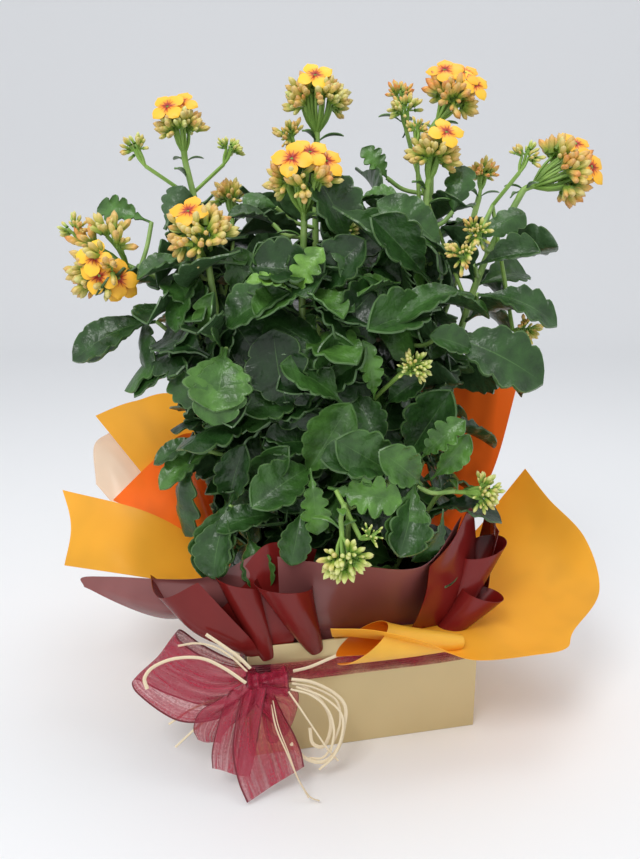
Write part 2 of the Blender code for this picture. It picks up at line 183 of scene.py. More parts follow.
def read_shape(obj, uv_of, look=0, first_layer=None):
    """Takes a modelled object apart into a Shape, and removes the object."""
    points = [tuple(vertex.co) for vertex in obj.data.vertices]
    faces = [tuple(polygon.vertices) for polygon in obj.data.polygons]
    uvs = [uv_of(i) for i in range(len(points))]
    under = None
    if first_layer is not None:
        under = [1.0 if i >= first_layer else 0.0 for i in range(len(points))]
    bpy.data.objects.remove(obj, do_unlink=True)
    return Shape(points, faces, uvs, under, look)


def build(name, parts):
    """One object from (shape, matrix, tone) parts, with UVMap, tone and under on its points."""
    points, uvs, tones, under, faces, looks = [], [], [], [], [], []
    start = 0
    for shape, matrix, tone in parts:
        m = np.array(matrix)
        points.append(shape.points @ m[:3, :3].T + m[:3, 3])
        uvs.append(shape.uvs)
        tones.append(np.full(len(shape.points), tone))
        under.append(shape.under)
        faces += [tuple(i + start for i in face) for face in shape.faces]
        looks += [shape.look] * len(shape.faces)
        start += len(shape.points)
    mesh = bpy.data.meshes.new(name)
    mesh.from_pydata(np.concatenate(points).tolist(), [], faces)
    loops = np.zeros(len(mesh.loops), int)
    mesh.loops.foreach_get("vertex_index", loops)
    layer = mesh.uv_layers.new(name="UVMap")
    layer.data.foreach_set("uv", np.concatenate(uvs)[loops].ravel())
    for label, values in (("tone", tones), ("under", under)):
        attribute = mesh.attributes.new(label, "FLOAT", "POINT")
        attribute.data.foreach_set("value", np.concatenate(values))
    mesh.polygons.foreach_set("material_index", looks)
    mesh.update()
    obj = bpy.data.objects.new(name, mesh)
    bpy.context.scene.collection.objects.link(obj)
    return obj


def put(obj, slot, looks, replaced=(), smooth=40):
    """Finishes a piece: shading, materials, the body that it rides on, and what it stands for."""
    bpy.ops.object.select_all(action="DESELECT")
    obj.select_set(True)
    bpy.context.view_layer.objects.active = obj
    bpy.ops.object.shade_smooth_by_angle(angle=math.radians(smooth))
    for look in looks:
        obj.data.materials.append(look)
    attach(obj, "root")
    if replaced:
        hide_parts(*replaced)
    print(obj.name, len(obj.data.polygons), "faces")
    return obj


def tube_shape(points, radii, sides=6, look=0, flat=1.0, side=None):
    """A tube along the points. Its UV goes once round in x, and along its length in y."""
    count = len(points)
    rows, uvs, faces = [], [], []
    ahead = (points[1] - points[0]).normalized()
    across = Vector(side) if side else ahead.orthogonal()
    for i, point in enumerate(points):
        before = points[max(0, i - 1)]
        after = points[min(count - 1, i + 1)]
        ahead = (after - before).normalized()
        across = (across - ahead * across.dot(ahead)).normalized()
        up = ahead.cross(across)
        for k in range(sides):
            turn = 2 * math.pi * k / sides
            offset = across * math.cos(turn) + up * math.sin(turn) * flat
            rows.append(point + offset * radii[i])
            uvs.append((k / sides, i / (count - 1)))
    for i in range(count - 1):
        for k in range(sides):
            a, b = i * sides + k, i * sides + (k + 1) % sides
            faces.append((a, b, b + sides, a + sides))
    faces.append(tuple(reversed(range(sides))))
    faces.append(tuple(range((count - 1) * sides, count * sides)))
    return Shape(rows, faces, uvs, look=look)


def tube_part(line, radius, sides):
    """A tube of one thickness, ready to be gathered into a piece."""
    return (tube_shape(line, [radius] * len(line), sides), Matrix.Identity(4), 0.5)


def line_length(line):
    return sum((b - a).length for a, b in zip(line, line[1:]))


def centreline(node, reach):
    """The line down the middle of a CAD tube, from the clusters of points of its rings."""
    points = [vertex.co.copy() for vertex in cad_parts[node].data.vertices]
    rings = []
    for point in points:
        for ring in rings:
            if (ring[0] - point).length < reach:
                ring.append(point)
                break
        else:
            rings.append([point])
    middles = []
    for ring in rings:
        unique = {tuple(round(c, 6) for c in point) for point in ring}
        middles.append(sum((Vector(point) for point in unique), Vector()) / len(unique))
    line = [min(middles, key=lambda middle: middle.z)]
    middles.remove(line[0])
    while middles:
        line.append(min(middles, key=lambda middle: (middle - line[-1]).length))
        middles.remove(line[-1])
    return line


def turned_to(facing, place, size, roll=0.0):
    """A matrix that points a shape's Z at facing, at this place and size."""
    turn = Vector(facing).to_track_quat("Z", "Y").to_matrix().to_4x4()
    spin = Matrix.Rotation(roll, 4, "Z")
    return Matrix.Translation(place) @ turn @ spin @ Matrix.Scale(size, 4)


print("tools ready")

# %% [markdown]
# ## Materials
# Every finish is procedural. A pattern that follows a surface reads the piece's own UV map, and
# the leaves and buds also read the tone of each copy.

# %% Materials


def new_material(name, roughness, metallic=0.0):
    made = bpy.data.materials.new(name)
    made.use_nodes = True
    shader = made.node_tree.nodes["Principled BSDF"]
    shader.inputs["Roughness"].default_value = roughness
    shader.inputs["Metallic"].default_value = metallic
    return made, made.node_tree, shader


class Nodes:
    """Short ways to add and join shader nodes."""

    def __init__(self, tree):
        self.tree = tree

    def add(self, kind, **values):
        node = self.tree.nodes.new(kind)
        for key, value in values.items():
            setattr(node, key, value)
        return node

    def join(self, out, into):
        self.tree.links.new(out, into)

    def math(self, operation, a, b=0.0, clamp=False):
        node = self.add("ShaderNodeMath", operation=operation, use_clamp=clamp)
        for socket, value in zip(node.inputs, (a, b)):
            if isinstance(value, (int, float)):
                socket.default_value = value
            else:
                self.join(value, socket)
        return node.outputs[0]

    def mix(self, factor, a, b, blend="MIX"):
        node = self.add("ShaderNodeMix", data_type="RGBA", blend_type=blend)
        for socket, value in ((node.inputs[0], factor), (node.inputs[6], a), (node.inputs[7], b)):
            if isinstance(value, (int, float)):
                socket.default_value = value
            elif isinstance(value, tuple):
                socket.default_value = (*value, 1)
            else:
                self.join(value, socket)
        return node.outputs[2]

    def ramp(self, factor, stops, smooth=False):
        node = self.add("ShaderNodeValToRGB")
        node.color_ramp.interpolation = "EASE" if smooth else "LINEAR"
        while len(node.color_ramp.elements) < len(stops):
            node.color_ramp.elements.new(0.5)
        for element, (place, colour) in zip(node.color_ramp.elements, stops):
            element.position = place
            element.color = (*colour, 1)
        self.join(factor, node.inputs[0])
        return node.outputs[0]

    def noise(self, scale, detail=3.0, stretch=(1, 1, 1), source="Object"):
        place = self.add("ShaderNodeTexCoord")
        mapping = self.add("ShaderNodeMapping")
        mapping.inputs["Scale"].default_value = stretch
        self.join(place.outputs[source], mapping.inputs["Vector"])
        node = self.add("ShaderNodeTexNoise")
        node.inputs["Scale"].default_value = scale
        node.inputs["Detail"].default_value = detail
        self.join(mapping.outputs[0], node.inputs["Vector"])
        return node.outputs[0]

    def uv(self):
        place = self.add("ShaderNodeUVMap", uv_map="UVMap")
        split = self.add("ShaderNodeSeparateXYZ")
        self.join(place.outputs[0], split.inputs[0])
        return split.outputs[0], split.outputs[1]

    def value(self, name):
        node = self.add("ShaderNodeAttribute", attribute_name=name)
        return node.outputs["Fac"]

    def bump(self, height, strength, distance, shader):
        node = self.add("ShaderNodeBump")
        node.inputs["Strength"].default_value = strength
        node.inputs["Distance"].default_value = distance
        self.join(height, node.inputs["Height"])
        self.join(node.outputs[0], shader.inputs["Normal"])


def leaf_material():
    """Thick glossy leaf: dark blade, pale midrib, thin pale rim, grey underside."""
    made, tree, shader = new_material("leaf_green", 0.36)
    shader.inputs["Specular IOR Level"].default_value = 0.5
    n = Nodes(tree)
    across, along = n.uv()
    off_middle = n.math("ABSOLUTE", n.math("SUBTRACT", across, 0.5))
    tone = n.value("tone")
    blade = n.ramp(tone, [(0.0, (0.004, 0.018, 0.003)), (0.3, (0.014, 0.050, 0.009)),
                          (0.5, (0.036, 0.105, 0.018)), (0.7, (0.075, 0.190, 0.028)),
                          (1.0, (0.20, 0.40, 0.06))])
    patches = n.ramp(n.noise(90, 5), [(0.35, (0.62, 0.66, 0.62)), (0.65, (1.5, 1.42, 1.4))])
    blade = n.mix(1.0, blade, patches, "MULTIPLY")
    rib = n.math("LESS_THAN", off_middle, n.math("MULTIPLY", n.math("SUBTRACT", 1.0, along), 0.03))
    blade = n.mix(n.math("MULTIPLY", rib, 0.28), blade, (0.14, 0.28, 0.08))
    rim = n.math("MULTIPLY", n.math("GREATER_THAN", off_middle, 0.478), 0.30)
    blade = n.mix(rim, blade, (0.18, 0.32, 0.10))
    grey = n.mix(n.math("MULTIPLY", n.value("under"), 0.75), blade, (0.050, 0.105, 0.040))
    n.join(grey, shader.inputs["Base Color"])
    n.bump(n.noise(170, 3), 0.55, 0.0026, shader)
    return made


def stem_material(name, low, high):
    made, tree, shader = new_material(name, 0.45)
    n = Nodes(tree)
    colour = n.ramp(n.noise(90, 3), [(0.3, low), (0.7, high)])
    n.join(colour, shader.inputs["Base Color"])
    return made


def bud_material():
    """A bud goes from a green foot through cream to a peach or orange tip, by its tone."""
    made, tree, shader = new_material("bud", 0.45)
    n = Nodes(tree)
    along = n.uv()[1]
    tone = n.value("tone")
    green = n.ramp(along, [(0.0, (0.07, 0.18, 0.02)), (0.3, (0.20, 0.36, 0.04)),
                           (0.6, (0.48, 0.56, 0.12)), (1.0, (0.72, 0.72, 0.30))])
    peach = n.ramp(along, [(0.0, (0.10, 0.22, 0.02)), (0.3, (0.30, 0.36, 0.05)),
                           (0.52, (0.74, 0.52, 0.14)), (0.78, (0.84, 0.36, 0.08)),
                           (1.0, (0.48, 0.12, 0.03))])
    n.join(n.mix(tone, green, peach), shader.inputs["Base Color"])
    return made


def petal_material():
    """Yellow petals with an orange flush and dark red strokes that spread from the throat."""
    made, tree, shader = new_material("petal", 0.5)
    n = Nodes(tree)
    across, along = n.uv()
    base = n.ramp(along, [(0.0, (0.22, 0.010, 0.006)), (0.12, (0.50, 0.05, 0.01)),
                          (0.25, (0.90, 0.36, 0.015)), (0.45, (0.95, 0.56, 0.03)),
                          (1.0, (0.96, 0.62, 0.04))])
    stripe = n.math("COSINE", n.math("MULTIPLY", n.math("SUBTRACT", across, 0.5), 18.8))
    reach = n.math("SUBTRACT", 0.32, along)
    stroke = n.math("GREATER_THAN", n.math("ADD", n.math("MULTIPLY", reach, 3.0), stripe), 0.85)
    stroke = n.math("MULTIPLY", stroke, n.math("LESS_THAN", along, 0.40))
    colour = n.mix(n.math("MULTIPLY", stroke, 0.75), base, (0.33, 0.02, 0.008))
    warm = n.mix(n.value("tone"), colour, n.mix(1.0, colour, (1.0, 0.62, 0.5), "MULTIPLY"))
    n.join(warm, shader.inputs["Base Color"])
    return made


def film_material(name, inner, outer, glow, through, clear, roughness, shine, fold_shade=0.10):
    """Thin plastic film: it shines, lets some light through, and is a little see-through. Soft bands
    of painted shade and light stand in for the shading of its folds.
    """
    made, tree, shader = new_material(name, roughness)
    n = Nodes(tree)
    shader.inputs["Specular IOR Level"].default_value = shine
    # painted shade: long soft bands darken and lighten the film's colour and its glow, standing in
    # for the shading of its folds
    dark, pale = (1 - fold_shade, 1 - 1.3 * fold_shade, 1 - 1.3 * fold_shade), (1 + fold_shade,) * 3
    painted_fold_shade = n.ramp(n.noise(26, 2, (1, 1, 0.25)), [(0.36, dark), (0.5, (1, 1, 1)), (0.64, pale)])
    # each face takes its own colour; on the burgundy sheets the outer face's greyer mauve is painted
    # sheen
    side = n.mix(n.value("under"), outer, inner)
    n.join(n.mix(1.0, side, painted_fold_shade, "MULTIPLY"), shader.inputs["Base Color"])
    n.bump(n.noise(45, 2), 0.10, 0.002, shader)
    glowing = n.add("ShaderNodeBsdfTranslucent")
    n.join(n.mix(1.0, glow, painted_fold_shade, "MULTIPLY"), glowing.inputs["Color"])
    body = n.add("ShaderNodeMixShader")
    body.inputs[0].default_value = through
    n.join(shader.outputs[0], body.inputs[1])
    n.join(glowing.outputs[0], body.inputs[2])
    window = n.add("ShaderNodeBsdfTransparent")
    window.inputs["Color"].default_value = (*glow, 1)
    whole = n.add("ShaderNodeMixShader")
    whole.inputs[0].default_value = clear
    n.join(body.outputs[0], whole.inputs[1])
    n.join(window.outputs[0], whole.inputs[2])
    n.join(whole.outputs[0], tree.nodes["Material Output"].inputs["Surface"])
    return made


def organza_material():
    """Sheer ribbon: a fine open weave that is denser in its two woven edges, with painted shade along
    its creases.
    """
    made, tree, shader = new_material("organza_weave", 0.45)
    n = Nodes(tree)
    across, along = n.uv()
    off_middle = n.math("ABSOLUTE", n.math("SUBTRACT", across, 0.5))
    edge = n.math("GREATER_THAN", off_middle, 0.475)
    # painted crease shade: long bands of denser, darker cover along the ribbon stand in for the shade
    # in its creases
    crease_shade = n.noise(2.2, 3, (9, 0.7, 1), source="UV")
    crease_shade = n.math("MULTIPLY", n.math("SUBTRACT", crease_shade, 0.5), 1.3)
    colour = n.mix(edge, (0.40, 0.014, 0.048), (0.14, 0.004, 0.014))
    n.join(colour, shader.inputs["Base Color"])
    threads = n.math("ADD", n.noise(900, 2, source="Object"), -0.5)
    cover = n.math("ADD", n.math("MULTIPLY", threads, 0.5), n.math("ADD", crease_shade, 0.47))
    cover = n.math("MAXIMUM", cover, 0.28, clamp=True)
    n.join(n.math("MAXIMUM", cover, n.math("MULTIPLY", edge, 0.93)), shader.inputs["Alpha"])
    return made


def card_material():
    made, tree, shader = new_material("satin_gold_card", 0.42, 0.55)
    n = Nodes(tree)
    colour = n.ramp(n.noise(12, 3), [(0.3, (0.58, 0.46, 0.24)), (0.7, (0.66, 0.53, 0.29))])
    n.join(colour, shader.inputs["Base Color"])
    n.bump(n.noise(500, 2), 0.05, 0.0003, shader)
    return made


def soil_material():
    made, tree, shader = new_material("potting_mix", 0.95)
    n = Nodes(tree)
    colour = n.ramp(n.noise(320, 5), [(0.35, (0.012, 0.008, 0.005)), (0.6, (0.05, 0.03, 0.018)),
                                      (0.75, (0.16, 0.11, 0.07))])
    n.join(colour, shader.inputs["Base Color"])
    n.bump(n.noise(260, 5), 0.9, 0.003, shader)
    return made


def plastic_material():
    made, tree, shader = new_material("pot_plastic_dark", 0.5)
    n = Nodes(tree)
    colour = n.ramp(n.noise(30, 2), [(0.3, (0.035, 0.028, 0.024)), (0.7, (0.05, 0.04, 0.034))])
    n.join(colour, shader.inputs["Base Color"])
    return made


def raffia_material():
    """Dry palm fibre: pale straw with long streaks."""
    made, tree, shader = new_material("raffia_straw", 0.6)
    n = Nodes(tree)
    streak = n.add("ShaderNodeTexWave", wave_type="BANDS", bands_direction="X")
    streak.inputs["Scale"].default_value = 5.0
    streak.inputs["Distortion"].default_value = 2.5
    place = n.add("ShaderNodeUVMap", uv_map="UVMap")
    n.join(place.outputs[0], streak.inputs["Vector"])
    colour = n.ramp(streak.outputs[1], [(0.0, (0.62, 0.47, 0.27)), (1.0, (0.86, 0.76, 0.56))])
    n.join(colour, shader.inputs["Base Color"])
    return made


LEAF_LOOK = leaf_material()
STEM_LOOK = stem_material("stem_green", (0.16, 0.30, 0.06), (0.32, 0.48, 0.13))
STALK_LOOK = stem_material("stalk_green", (0.17, 0.32, 0.05), (0.30, 0.48, 0.10))
BUD_LOOK = bud_material()
PETAL_LOOK = petal_material()
YELLOW = (0.95, 0.55, 0.055)
ORANGE = (0.60, 0.17, 0.030)
PALE_ORANGE = (0.86, 0.27, 0.030)
WINE = (0.17, 0.008, 0.006)
DEEP_WINE = (0.22, 0.016, 0.014)
# painted sheen: the burgundy sheets' outer face is a greyer mauve than the wine film, standing in for
# the sheen of light on it
WINE_WITH_PAINTED_SHEEN = (0.28, 0.095, 0.090)
FILM_LOOKS = {
    "yellow_film": film_material("film_yellow", YELLOW, YELLOW, (1.0, 0.60, 0.04), 0.42, 0.0,
                                 0.42, 0.30, 0.06),
    "orange_film": film_material("film_orange", ORANGE, ORANGE, (0.90, 0.34, 0.07), 0.42, 0.20,
                                 0.30, 0.50, 0.40),
    "pale_orange": film_material("film_orange_pale", PALE_ORANGE, PALE_ORANGE, (1.0, 0.36, 0.04),
                                 0.45, 0.12, 0.30, 0.45, 0.22),
    "burgundy_film": film_material("film_burgundy", WINE, WINE_WITH_PAINTED_SHEEN, (0.50, 0.03, 0.006), 0.18, 0.03,
                                   0.24, 0.6),
    "burgundy_roll": film_material("film_burgundy_deep", WINE, DEEP_WINE, (0.50, 0.03, 0.006), 0.2,
                                   0.0, 0.22, 0.40),
    "yellow_roll": film_material("film_yellow_rolled", (0.70, 0.20, 0.01), YELLOW, (1.0, 0.5, 0.03),
                                 0.25, 0.0, 0.30, 0.45),
    "clear_film": film_material("film_clear", (0.80, 0.66, 0.52), (0.80, 0.66, 0.52),
                                (1.0, 0.88, 0.76), 0.2, 0.62, 0.25, 0.5),
}
ORGANZA_LOOK = organza_material()
CARD_LOOK = card_material()
SOIL_LOOK = soil_material()
PLASTIC_LOOK = plastic_material()
RAFFIA_LOOK = raffia_material()
print(len(bpy.data.materials), "materials")

# %% [markdown]
# ## The box of gold card
# On the real gift this is one sheet of card, folded up into a low square box. A cube is sized to
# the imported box, its top face is deleted, Solidify gives the card its thickness, and a small
# bevel rounds the folds. It comes early because the film and the ribbon are placed from it.

# %% Box
BOX_LOW, BOX_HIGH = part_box("gift_box")
BOX_HALF = BOX_HIGH.x
BOX_HEIGHT = BOX_HIGH.z
CARD = 1.2 * MM
bpy.ops.object.select_all(action="DESELECT")
bpy.ops.mesh.primitive_cube_add(size=1, location=(0, 0, BOX_HEIGHT / 2))
box = bpy.context.object
box.scale = (2 * BOX_HALF, 2 * BOX_HALF, BOX_HEIGHT)
bpy.ops.object.transform_apply(location=True, rotation=True, scale=True)
bpy.ops.object.mode_set(mode="EDIT")
bpy.ops.mesh.select_all(action="DESELECT")
bpy.ops.object.mode_set(mode="OBJECT")
for polygon in box.data.polygons:
    polygon.select = polygon.normal.z > 0.5
bpy.ops.object.mode_set(mode="EDIT")
bpy.ops.mesh.select_mode(type="FACE")
bpy.ops.mesh.delete(type="FACE")
bpy.ops.object.mode_set(mode="OBJECT")
wall = box.modifiers.new("card", "SOLIDIFY")
wall.thickness = CARD
wall.offset = -1
wall.use_even_offset = True
bpy.ops.object.modifier_apply(modifier="card")
fold = box.modifiers.new("folds", "BEVEL")
fold.width = 0.6 * MM
fold.segments = 3
fold.limit_method = "ANGLE"
bpy.ops.object.modifier_apply(modifier="folds")
box.name = "gold_card_box"
put(box, "gold_card", [CARD_LOOK], ["gift_box"])

# %% [markdown]
# ## The nursery pot and its soil
# The plant's own pot is hidden inside the box and the film, but it can be seen from above. Its
# section is turned about the middle. The soil is a rough disc on top of the root ball.

# %% Pot and soil


def turned(name, profile, steps):
    """A section of (radius, height) points, turned into a closed solid about Z."""
    points, uvs, faces = [], [], []
    count = len(profile)
    for k in range(steps):
        turn = 2 * math.pi * k / steps
        for i, (radius, height) in enumerate(profile):
            points.append((radius * math.cos(turn), radius * math.sin(turn), height))
            uvs.append((k / steps, i / count))
    for k in range(steps):
        for i in range(count):
            a, b = k * count + i, k * count + (i + 1) % count
            c = (k + 1) % steps * count
            faces.append((a, c + i, c + (i + 1) % count, b))
    return build(name, [(Shape(points, faces, uvs), Matrix.Identity(4), 0.5)])


POT_LOW, POT_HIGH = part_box("nursery_pot")
POT_RIM = POT_HIGH.x
POT_TOP = POT_HIGH.z
POT_FOOT = POT_LOW.z
pot = turned("nursery_pot_turned", [
    (POT_RIM, POT_TOP), (POT_RIM, POT_TOP - 12 * MM), (POT_RIM - 1.6 * MM, POT_TOP - 12.4 * MM),
    (44.5 * MM, POT_FOOT + 1 * MM), (43.5 * MM, POT_FOOT), (6 * MM, POT_FOOT),
    (6 * MM, POT_FOOT + 1.4 * MM), (42.5 * MM, POT_FOOT + 1.6 * MM),
    (POT_RIM - 3 * MM, POT_TOP - 1 * MM), (POT_RIM - 1.8 * MM, POT_TOP),
], 72)
put(pot, "pot_plastic", [PLASTIC_LOOK], ["nursery_pot"])

SOIL_LOW, SOIL_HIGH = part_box("potting_soil")
SOIL_TOP = SOIL_HIGH.z
SOIL_RADIUS = SOIL_HIGH.x
bpy.ops.object.select_all(action="DESELECT")
bpy.ops.mesh.primitive_cylinder_add(
    vertices=64, radius=1, depth=1, end_fill_type="TRIFAN", location=(0, 0, 0)
)
soil = bpy.context.object
bpy.ops.object.mode_set(mode="EDIT")
bpy.ops.mesh.select_all(action="SELECT")
bpy.ops.mesh.subdivide(number_cuts=5)
bpy.ops.object.mode_set(mode="OBJECT")
crumbs = random.Random(3)
for vertex in soil.data.vertices:
    x, y, z = vertex.co
    radius = SOIL_RADIUS * (0.79 + 0.20 * (z + 0.5))
    height = SOIL_LOW.z + (SOIL_TOP - SOIL_LOW.z) * (z + 0.5)
    if z > 0.49 and x * x + y * y < 0.95:
        height -= crumbs.random() * 3 * MM
    vertex.co = (x * radius, y * radius, height)
soil.name = "potting_mix_crumbs"
put(soil, "potting_mix", [SOIL_LOOK], ["potting_soil"], smooth=70)

# %% [markdown]
# ## The film
# On the real gift, squares of soft coloured film are laid across each other under the pot, and
# pushed down into the box, so that their corners stand out round it. Each sheet here is a fan
# of ribs. A rib goes down beside the card, over the rim, and out through the points in the table:
# azimuth in degrees, reach outside the wall and height over the rim in millimetres. A fine flat
# grid is bent over the ribs and rippled a little, because film never lies quite smooth.

# %% Film tables
FILM_SHEETS = {
    "burgundy_film_left": (1, "burgundy_film", [
        [(-162, 12, 6), (-157, 48, 13), (-172, 92, 24)],
        [(-153, 12, 9), (-153, 50, 22), (-174, 93, 28)],
        [(-144, 10, 16), (-149, 42, 29), (-169, 76, 32)],
        [(-138, 5, 22), (-140, 14, 38), (-146, 30, 42)],
        [(-136, 0, 24), (-134, 0, 42), (-133, -5, 56)],
    ]),
    "yellow_film_left": (2, "yellow_film", [
        [(-171, 22, 14), (-172, 60, 26), (178, 106, 27)],
        [(-179, 22, 20), (-179, 66, 36), (173, 103, 46)],
        [(170, 18, 30), (173, 55, 56), (168, 111, 67)],
    ]),
    "orange_film_back_left": (3, "orange_film", [
        [(160, 14, 16), (161, 44, 36), (162, 82, 54)],
        [(150, 12, 26), (149, 30, 56), (149, 56, 76)],
        [(135, 8, 30), (137, 18, 62), (138, 34, 90)],
        [(118, 8, 28), (118, 16, 58), (118, 28, 78)],
    ]),
    "yellow_film_back_left": (2, "yellow_film", [
        [(156, 26, 22), (154, 60, 62), (150, 104, 104)],
        [(146, 22, 32), (142, 50, 80), (142, 80, 112)],
        [(135, 18, 36), (132, 38, 86), (132, 56, 115)],
        [(113, 18, 34), (113, 32, 70), (114, 46, 84)],
    ]),
    "clear_film_back_left": (1, "clear_film", [
        [(165, 30, 12), (161, 74, 42), (157, 98, 60)],
        [(156, 32, 24), (153, 80, 70), (152, 104, 84)],
        [(142, 30, 30), (143, 72, 74), (145, 98, 90)],
    ]),
    "yellow_film_back": (1, "yellow_film", [
        [(124, 26, 14), (124, 46, 30), (125, 60, 40)],
        [(108, 26, 16), (108, 40, 38), (109, 52, 52)],
        [(92, 20, 20), (92, 32, 44), (92, 46, 60)],
        [(77, 22, 18), (77, 36, 46), (76, 48, 66)],
        [(64, 24, 12), (63, 42, 34), (61, 52, 56)],
    ]),
    "orange_film_back_right": (2, "orange_film", [
        [(73, 10, 30), (69, 18, 75), (64, 22, 112)],
        [(52, 10, 34), (50, 20, 86), (48, 28, 132)],
        [(34, 14, 36), (34, 30, 92), (33, 42, 138)],
        [(18, 18, 30), (20, 44, 82), (21, 58, 137)],
        [(7, 20, 24), (10, 50, 68), (13, 72, 130)],
    ]),
    "yellow_film_right": (1, "yellow_film", [
        [(12, 36, 18), (11, 62, 46), (9, 76, 66)],
        [(0, 36, 12), (0, 68, 32), (0, 82, 50)],
        [(-12, 34, 8), (-12, 72, 20), (-12, 92, 34)],
        [(-24, 30, 5), (-24, 64, 9), (-25, 88, 14)],
        [(-38, 16, 3), (-39, 40, 3), (-40, 60, 5)],
        [(-45, 12, 3), (-46, 34, 1), (-46, 54, 2)],
        [(-52, 14, 3), (-52, 34, 1), (-52, 52, 1)],
        [(-66, 14, 4), (-66, 30, 1), (-66, 43, 1)],
        [(-80, 14, 6), (-80, 30, 9), (-80, 42, 16)],
        [(-94, 13, 8), (-94, 28, 14), (-94, 40, 25)],
        [(-106, 12, 8), (-106, 24, 16), (-106, 36, 26)],
    ]),
    "burgundy_film_front": (2, "burgundy_film", [
        [(-125, 4, 22), (-125, 6, 42), (-125, 8, 56)],
        [(-114, 5, 20), (-114, 10, 40), (-114, 17, 56)],
        [(-97, 6, 20), (-97, 15, 38), (-97, 24, 55)],
        [(-76, 6, 20), (-76, 16, 38), (-76, 26, 53)],
        [(-58, 1, 22), (-57, 4, 48), (-53, 2, 70)],
    ]),
    "burgundy_film_right": (2, "burgundy_film", [
        [(-44, 4, 20), (-44, 6, 40), (-44, 10, 60)],
        [(-34, 9, 20), (-34, 16, 42), (-36, 15, 62)],
        [(-20, 10, 22), (-19, 18, 48), (-21, 19, 76)],
    ]),
}
FILM = 0.3 * MM
FILM_LAYER = 1.7 * MM
FILM_TUCK = 14 * MM
TUCKED = 1 / 8
print(len(FILM_SHEETS), "sheets of film")

# %% [markdown]
# The first eighth of each rib is held straight inside the box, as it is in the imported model.

# %% Film


def film_point(azimuth, reach, up, inset=0.0):
    """This far outside the box's wall, or in from it by the inset, and this high over its rim."""
    angle = math.radians(azimuth)
    heading = Vector((math.cos(angle), math.sin(angle), 0))
    wall = (BOX_HALF - inset) / max(abs(heading.x), abs(heading.y))
    return heading * (wall + reach) + Vector((0, 0, BOX_HEIGHT + up))


def film_rib(layer, points):
    inset = 1.5 * MM + layer * FILM_LAYER
    root = points[0][0]
    rib = [film_point(root, 0, -FILM_TUCK, inset), film_point(root, 0, 2.4 * MM, inset)]
    return rib + [film_point(azimuth, reach * MM, up * MM) for azimuth, reach, up in points]


def rib_at(rib, v):
    if v < TUCKED:
        return rib[0].lerp(rib[1], v / TUCKED)
    return between(rib[1:], (v - TUCKED) / (1 - TUCKED))


def flat_size(place, steps=40):
    """The width and length of a sheet before it was bent, from the area and the ribs' length."""
    grid = [[place(i / steps, j / steps) for j in range(steps + 1)] for i in range(steps + 1)]
    area, length = 0.0, 0.0
    for i in range(steps):
        for j in range(steps):
            a, b, c, d = grid[i][j], grid[i + 1][j], grid[i + 1][j + 1], grid[i][j + 1]
            area += (c - a).cross(d - b).length / 2
            length += (d - a).length / steps
    return (round(area / length, 4), round(length, 4))


def bent_sheet(name, columns, rows, place, thickness):
    """A grid whose points go where place(u, v) says, with the wall of a thin sheet."""
    bpy.ops.object.select_all(action="DESELECT")
    bpy.ops.mesh.primitive_grid_add(x_subdivisions=columns, y_subdivisions=rows, size=1)
    obj = bpy.context.object
    for vertex in obj.data.vertices:
        vertex.co = place(vertex.co.x + 0.5, vertex.co.y + 0.5)
    count = len(obj.data.vertices)
    wall = obj.modifiers.new("wall", "SOLIDIFY")
    wall.thickness = thickness
    wall.offset = 0
    bpy.ops.object.modifier_apply(modifier="wall")
    under = obj.data.attributes.new("under", "FLOAT", "POINT")
    for i in range(len(obj.data.vertices)):
        under.data[i].value = 1.0 if i >= count else 0.0
    obj.name = name
    flat_size(place)
    return obj


def normal_at(surface, u, v, step=0.01):
    """The direction at right angles to the surface, at u, v."""
    along_u = surface(min(1, u + step), v) - surface(max(0, u - step), v)
    along_v = surface(u, min(1, v + step)) - surface(u, max(0, v - step))
    return along_u.cross(along_v).normalized()


def rippled(surface, amount, seed):
    """The same surface, pushed along its normal by long soft waves that grow away from its root."""
    chance = random.Random(seed)
    waves = [
        (chance.uniform(3, 9), chance.uniform(1, 4), chance.uniform(0, 6.3), chance.uniform(0.4, 1))
        for _ in range(5)
    ]

    def place(u, v):
        here = surface(u, v)
        normal = normal_at(surface, u, v)
        push = sum(w * math.sin(a * u + b * v + c) for a, b, c, w in waves) / 3
        return here + normal * push * amount * blend01(TUCKED, 0.45, v)

    return place


RIPPLE = {"burgundy_film": 2.0 * MM, "yellow_film": 2.2 * MM, "orange_film": 2.0 * MM,
          "clear_film": 1.5 * MM}
for number, (name, (layer, colour, ribs)) in enumerate(FILM_SHEETS.items()):
    curves = [film_rib(layer, points) for points in ribs]

    def surface(u, v, curves=curves):
        row = [rib_at(curve, v) for curve in curves]
        return straight_between(row, u).lerp(between(row, u), blend01(0.05, 0.25, v))

    columns = 14 * (len(ribs) - 1)
    sheet = bent_sheet(name + "_soft", columns, 44, rippled(surface, RIPPLE[colour], number), FILM)
    look = "pale_orange" if name == "orange_film_back_left" else colour
    put(sheet, colour, [FILM_LOOKS[look]], [name], smooth=60)

# %% [markdown]
# The front corner has two sheets of burgundy film that are rolled, and the yellow film in front
# has a rolled edge. A roll is a narrow cone of film: it starts between two points on its axis,
# and its wide end is cut at a slant, so that one can look into it. The points are in millimetres
# from the box's front left corner at the floor.

# %% Rolled film
CORNER = Vector((-BOX_HALF, -BOX_HALF, 0))


def corner_points(points):
    return [CORNER + Vector(point) * MM for point in points]


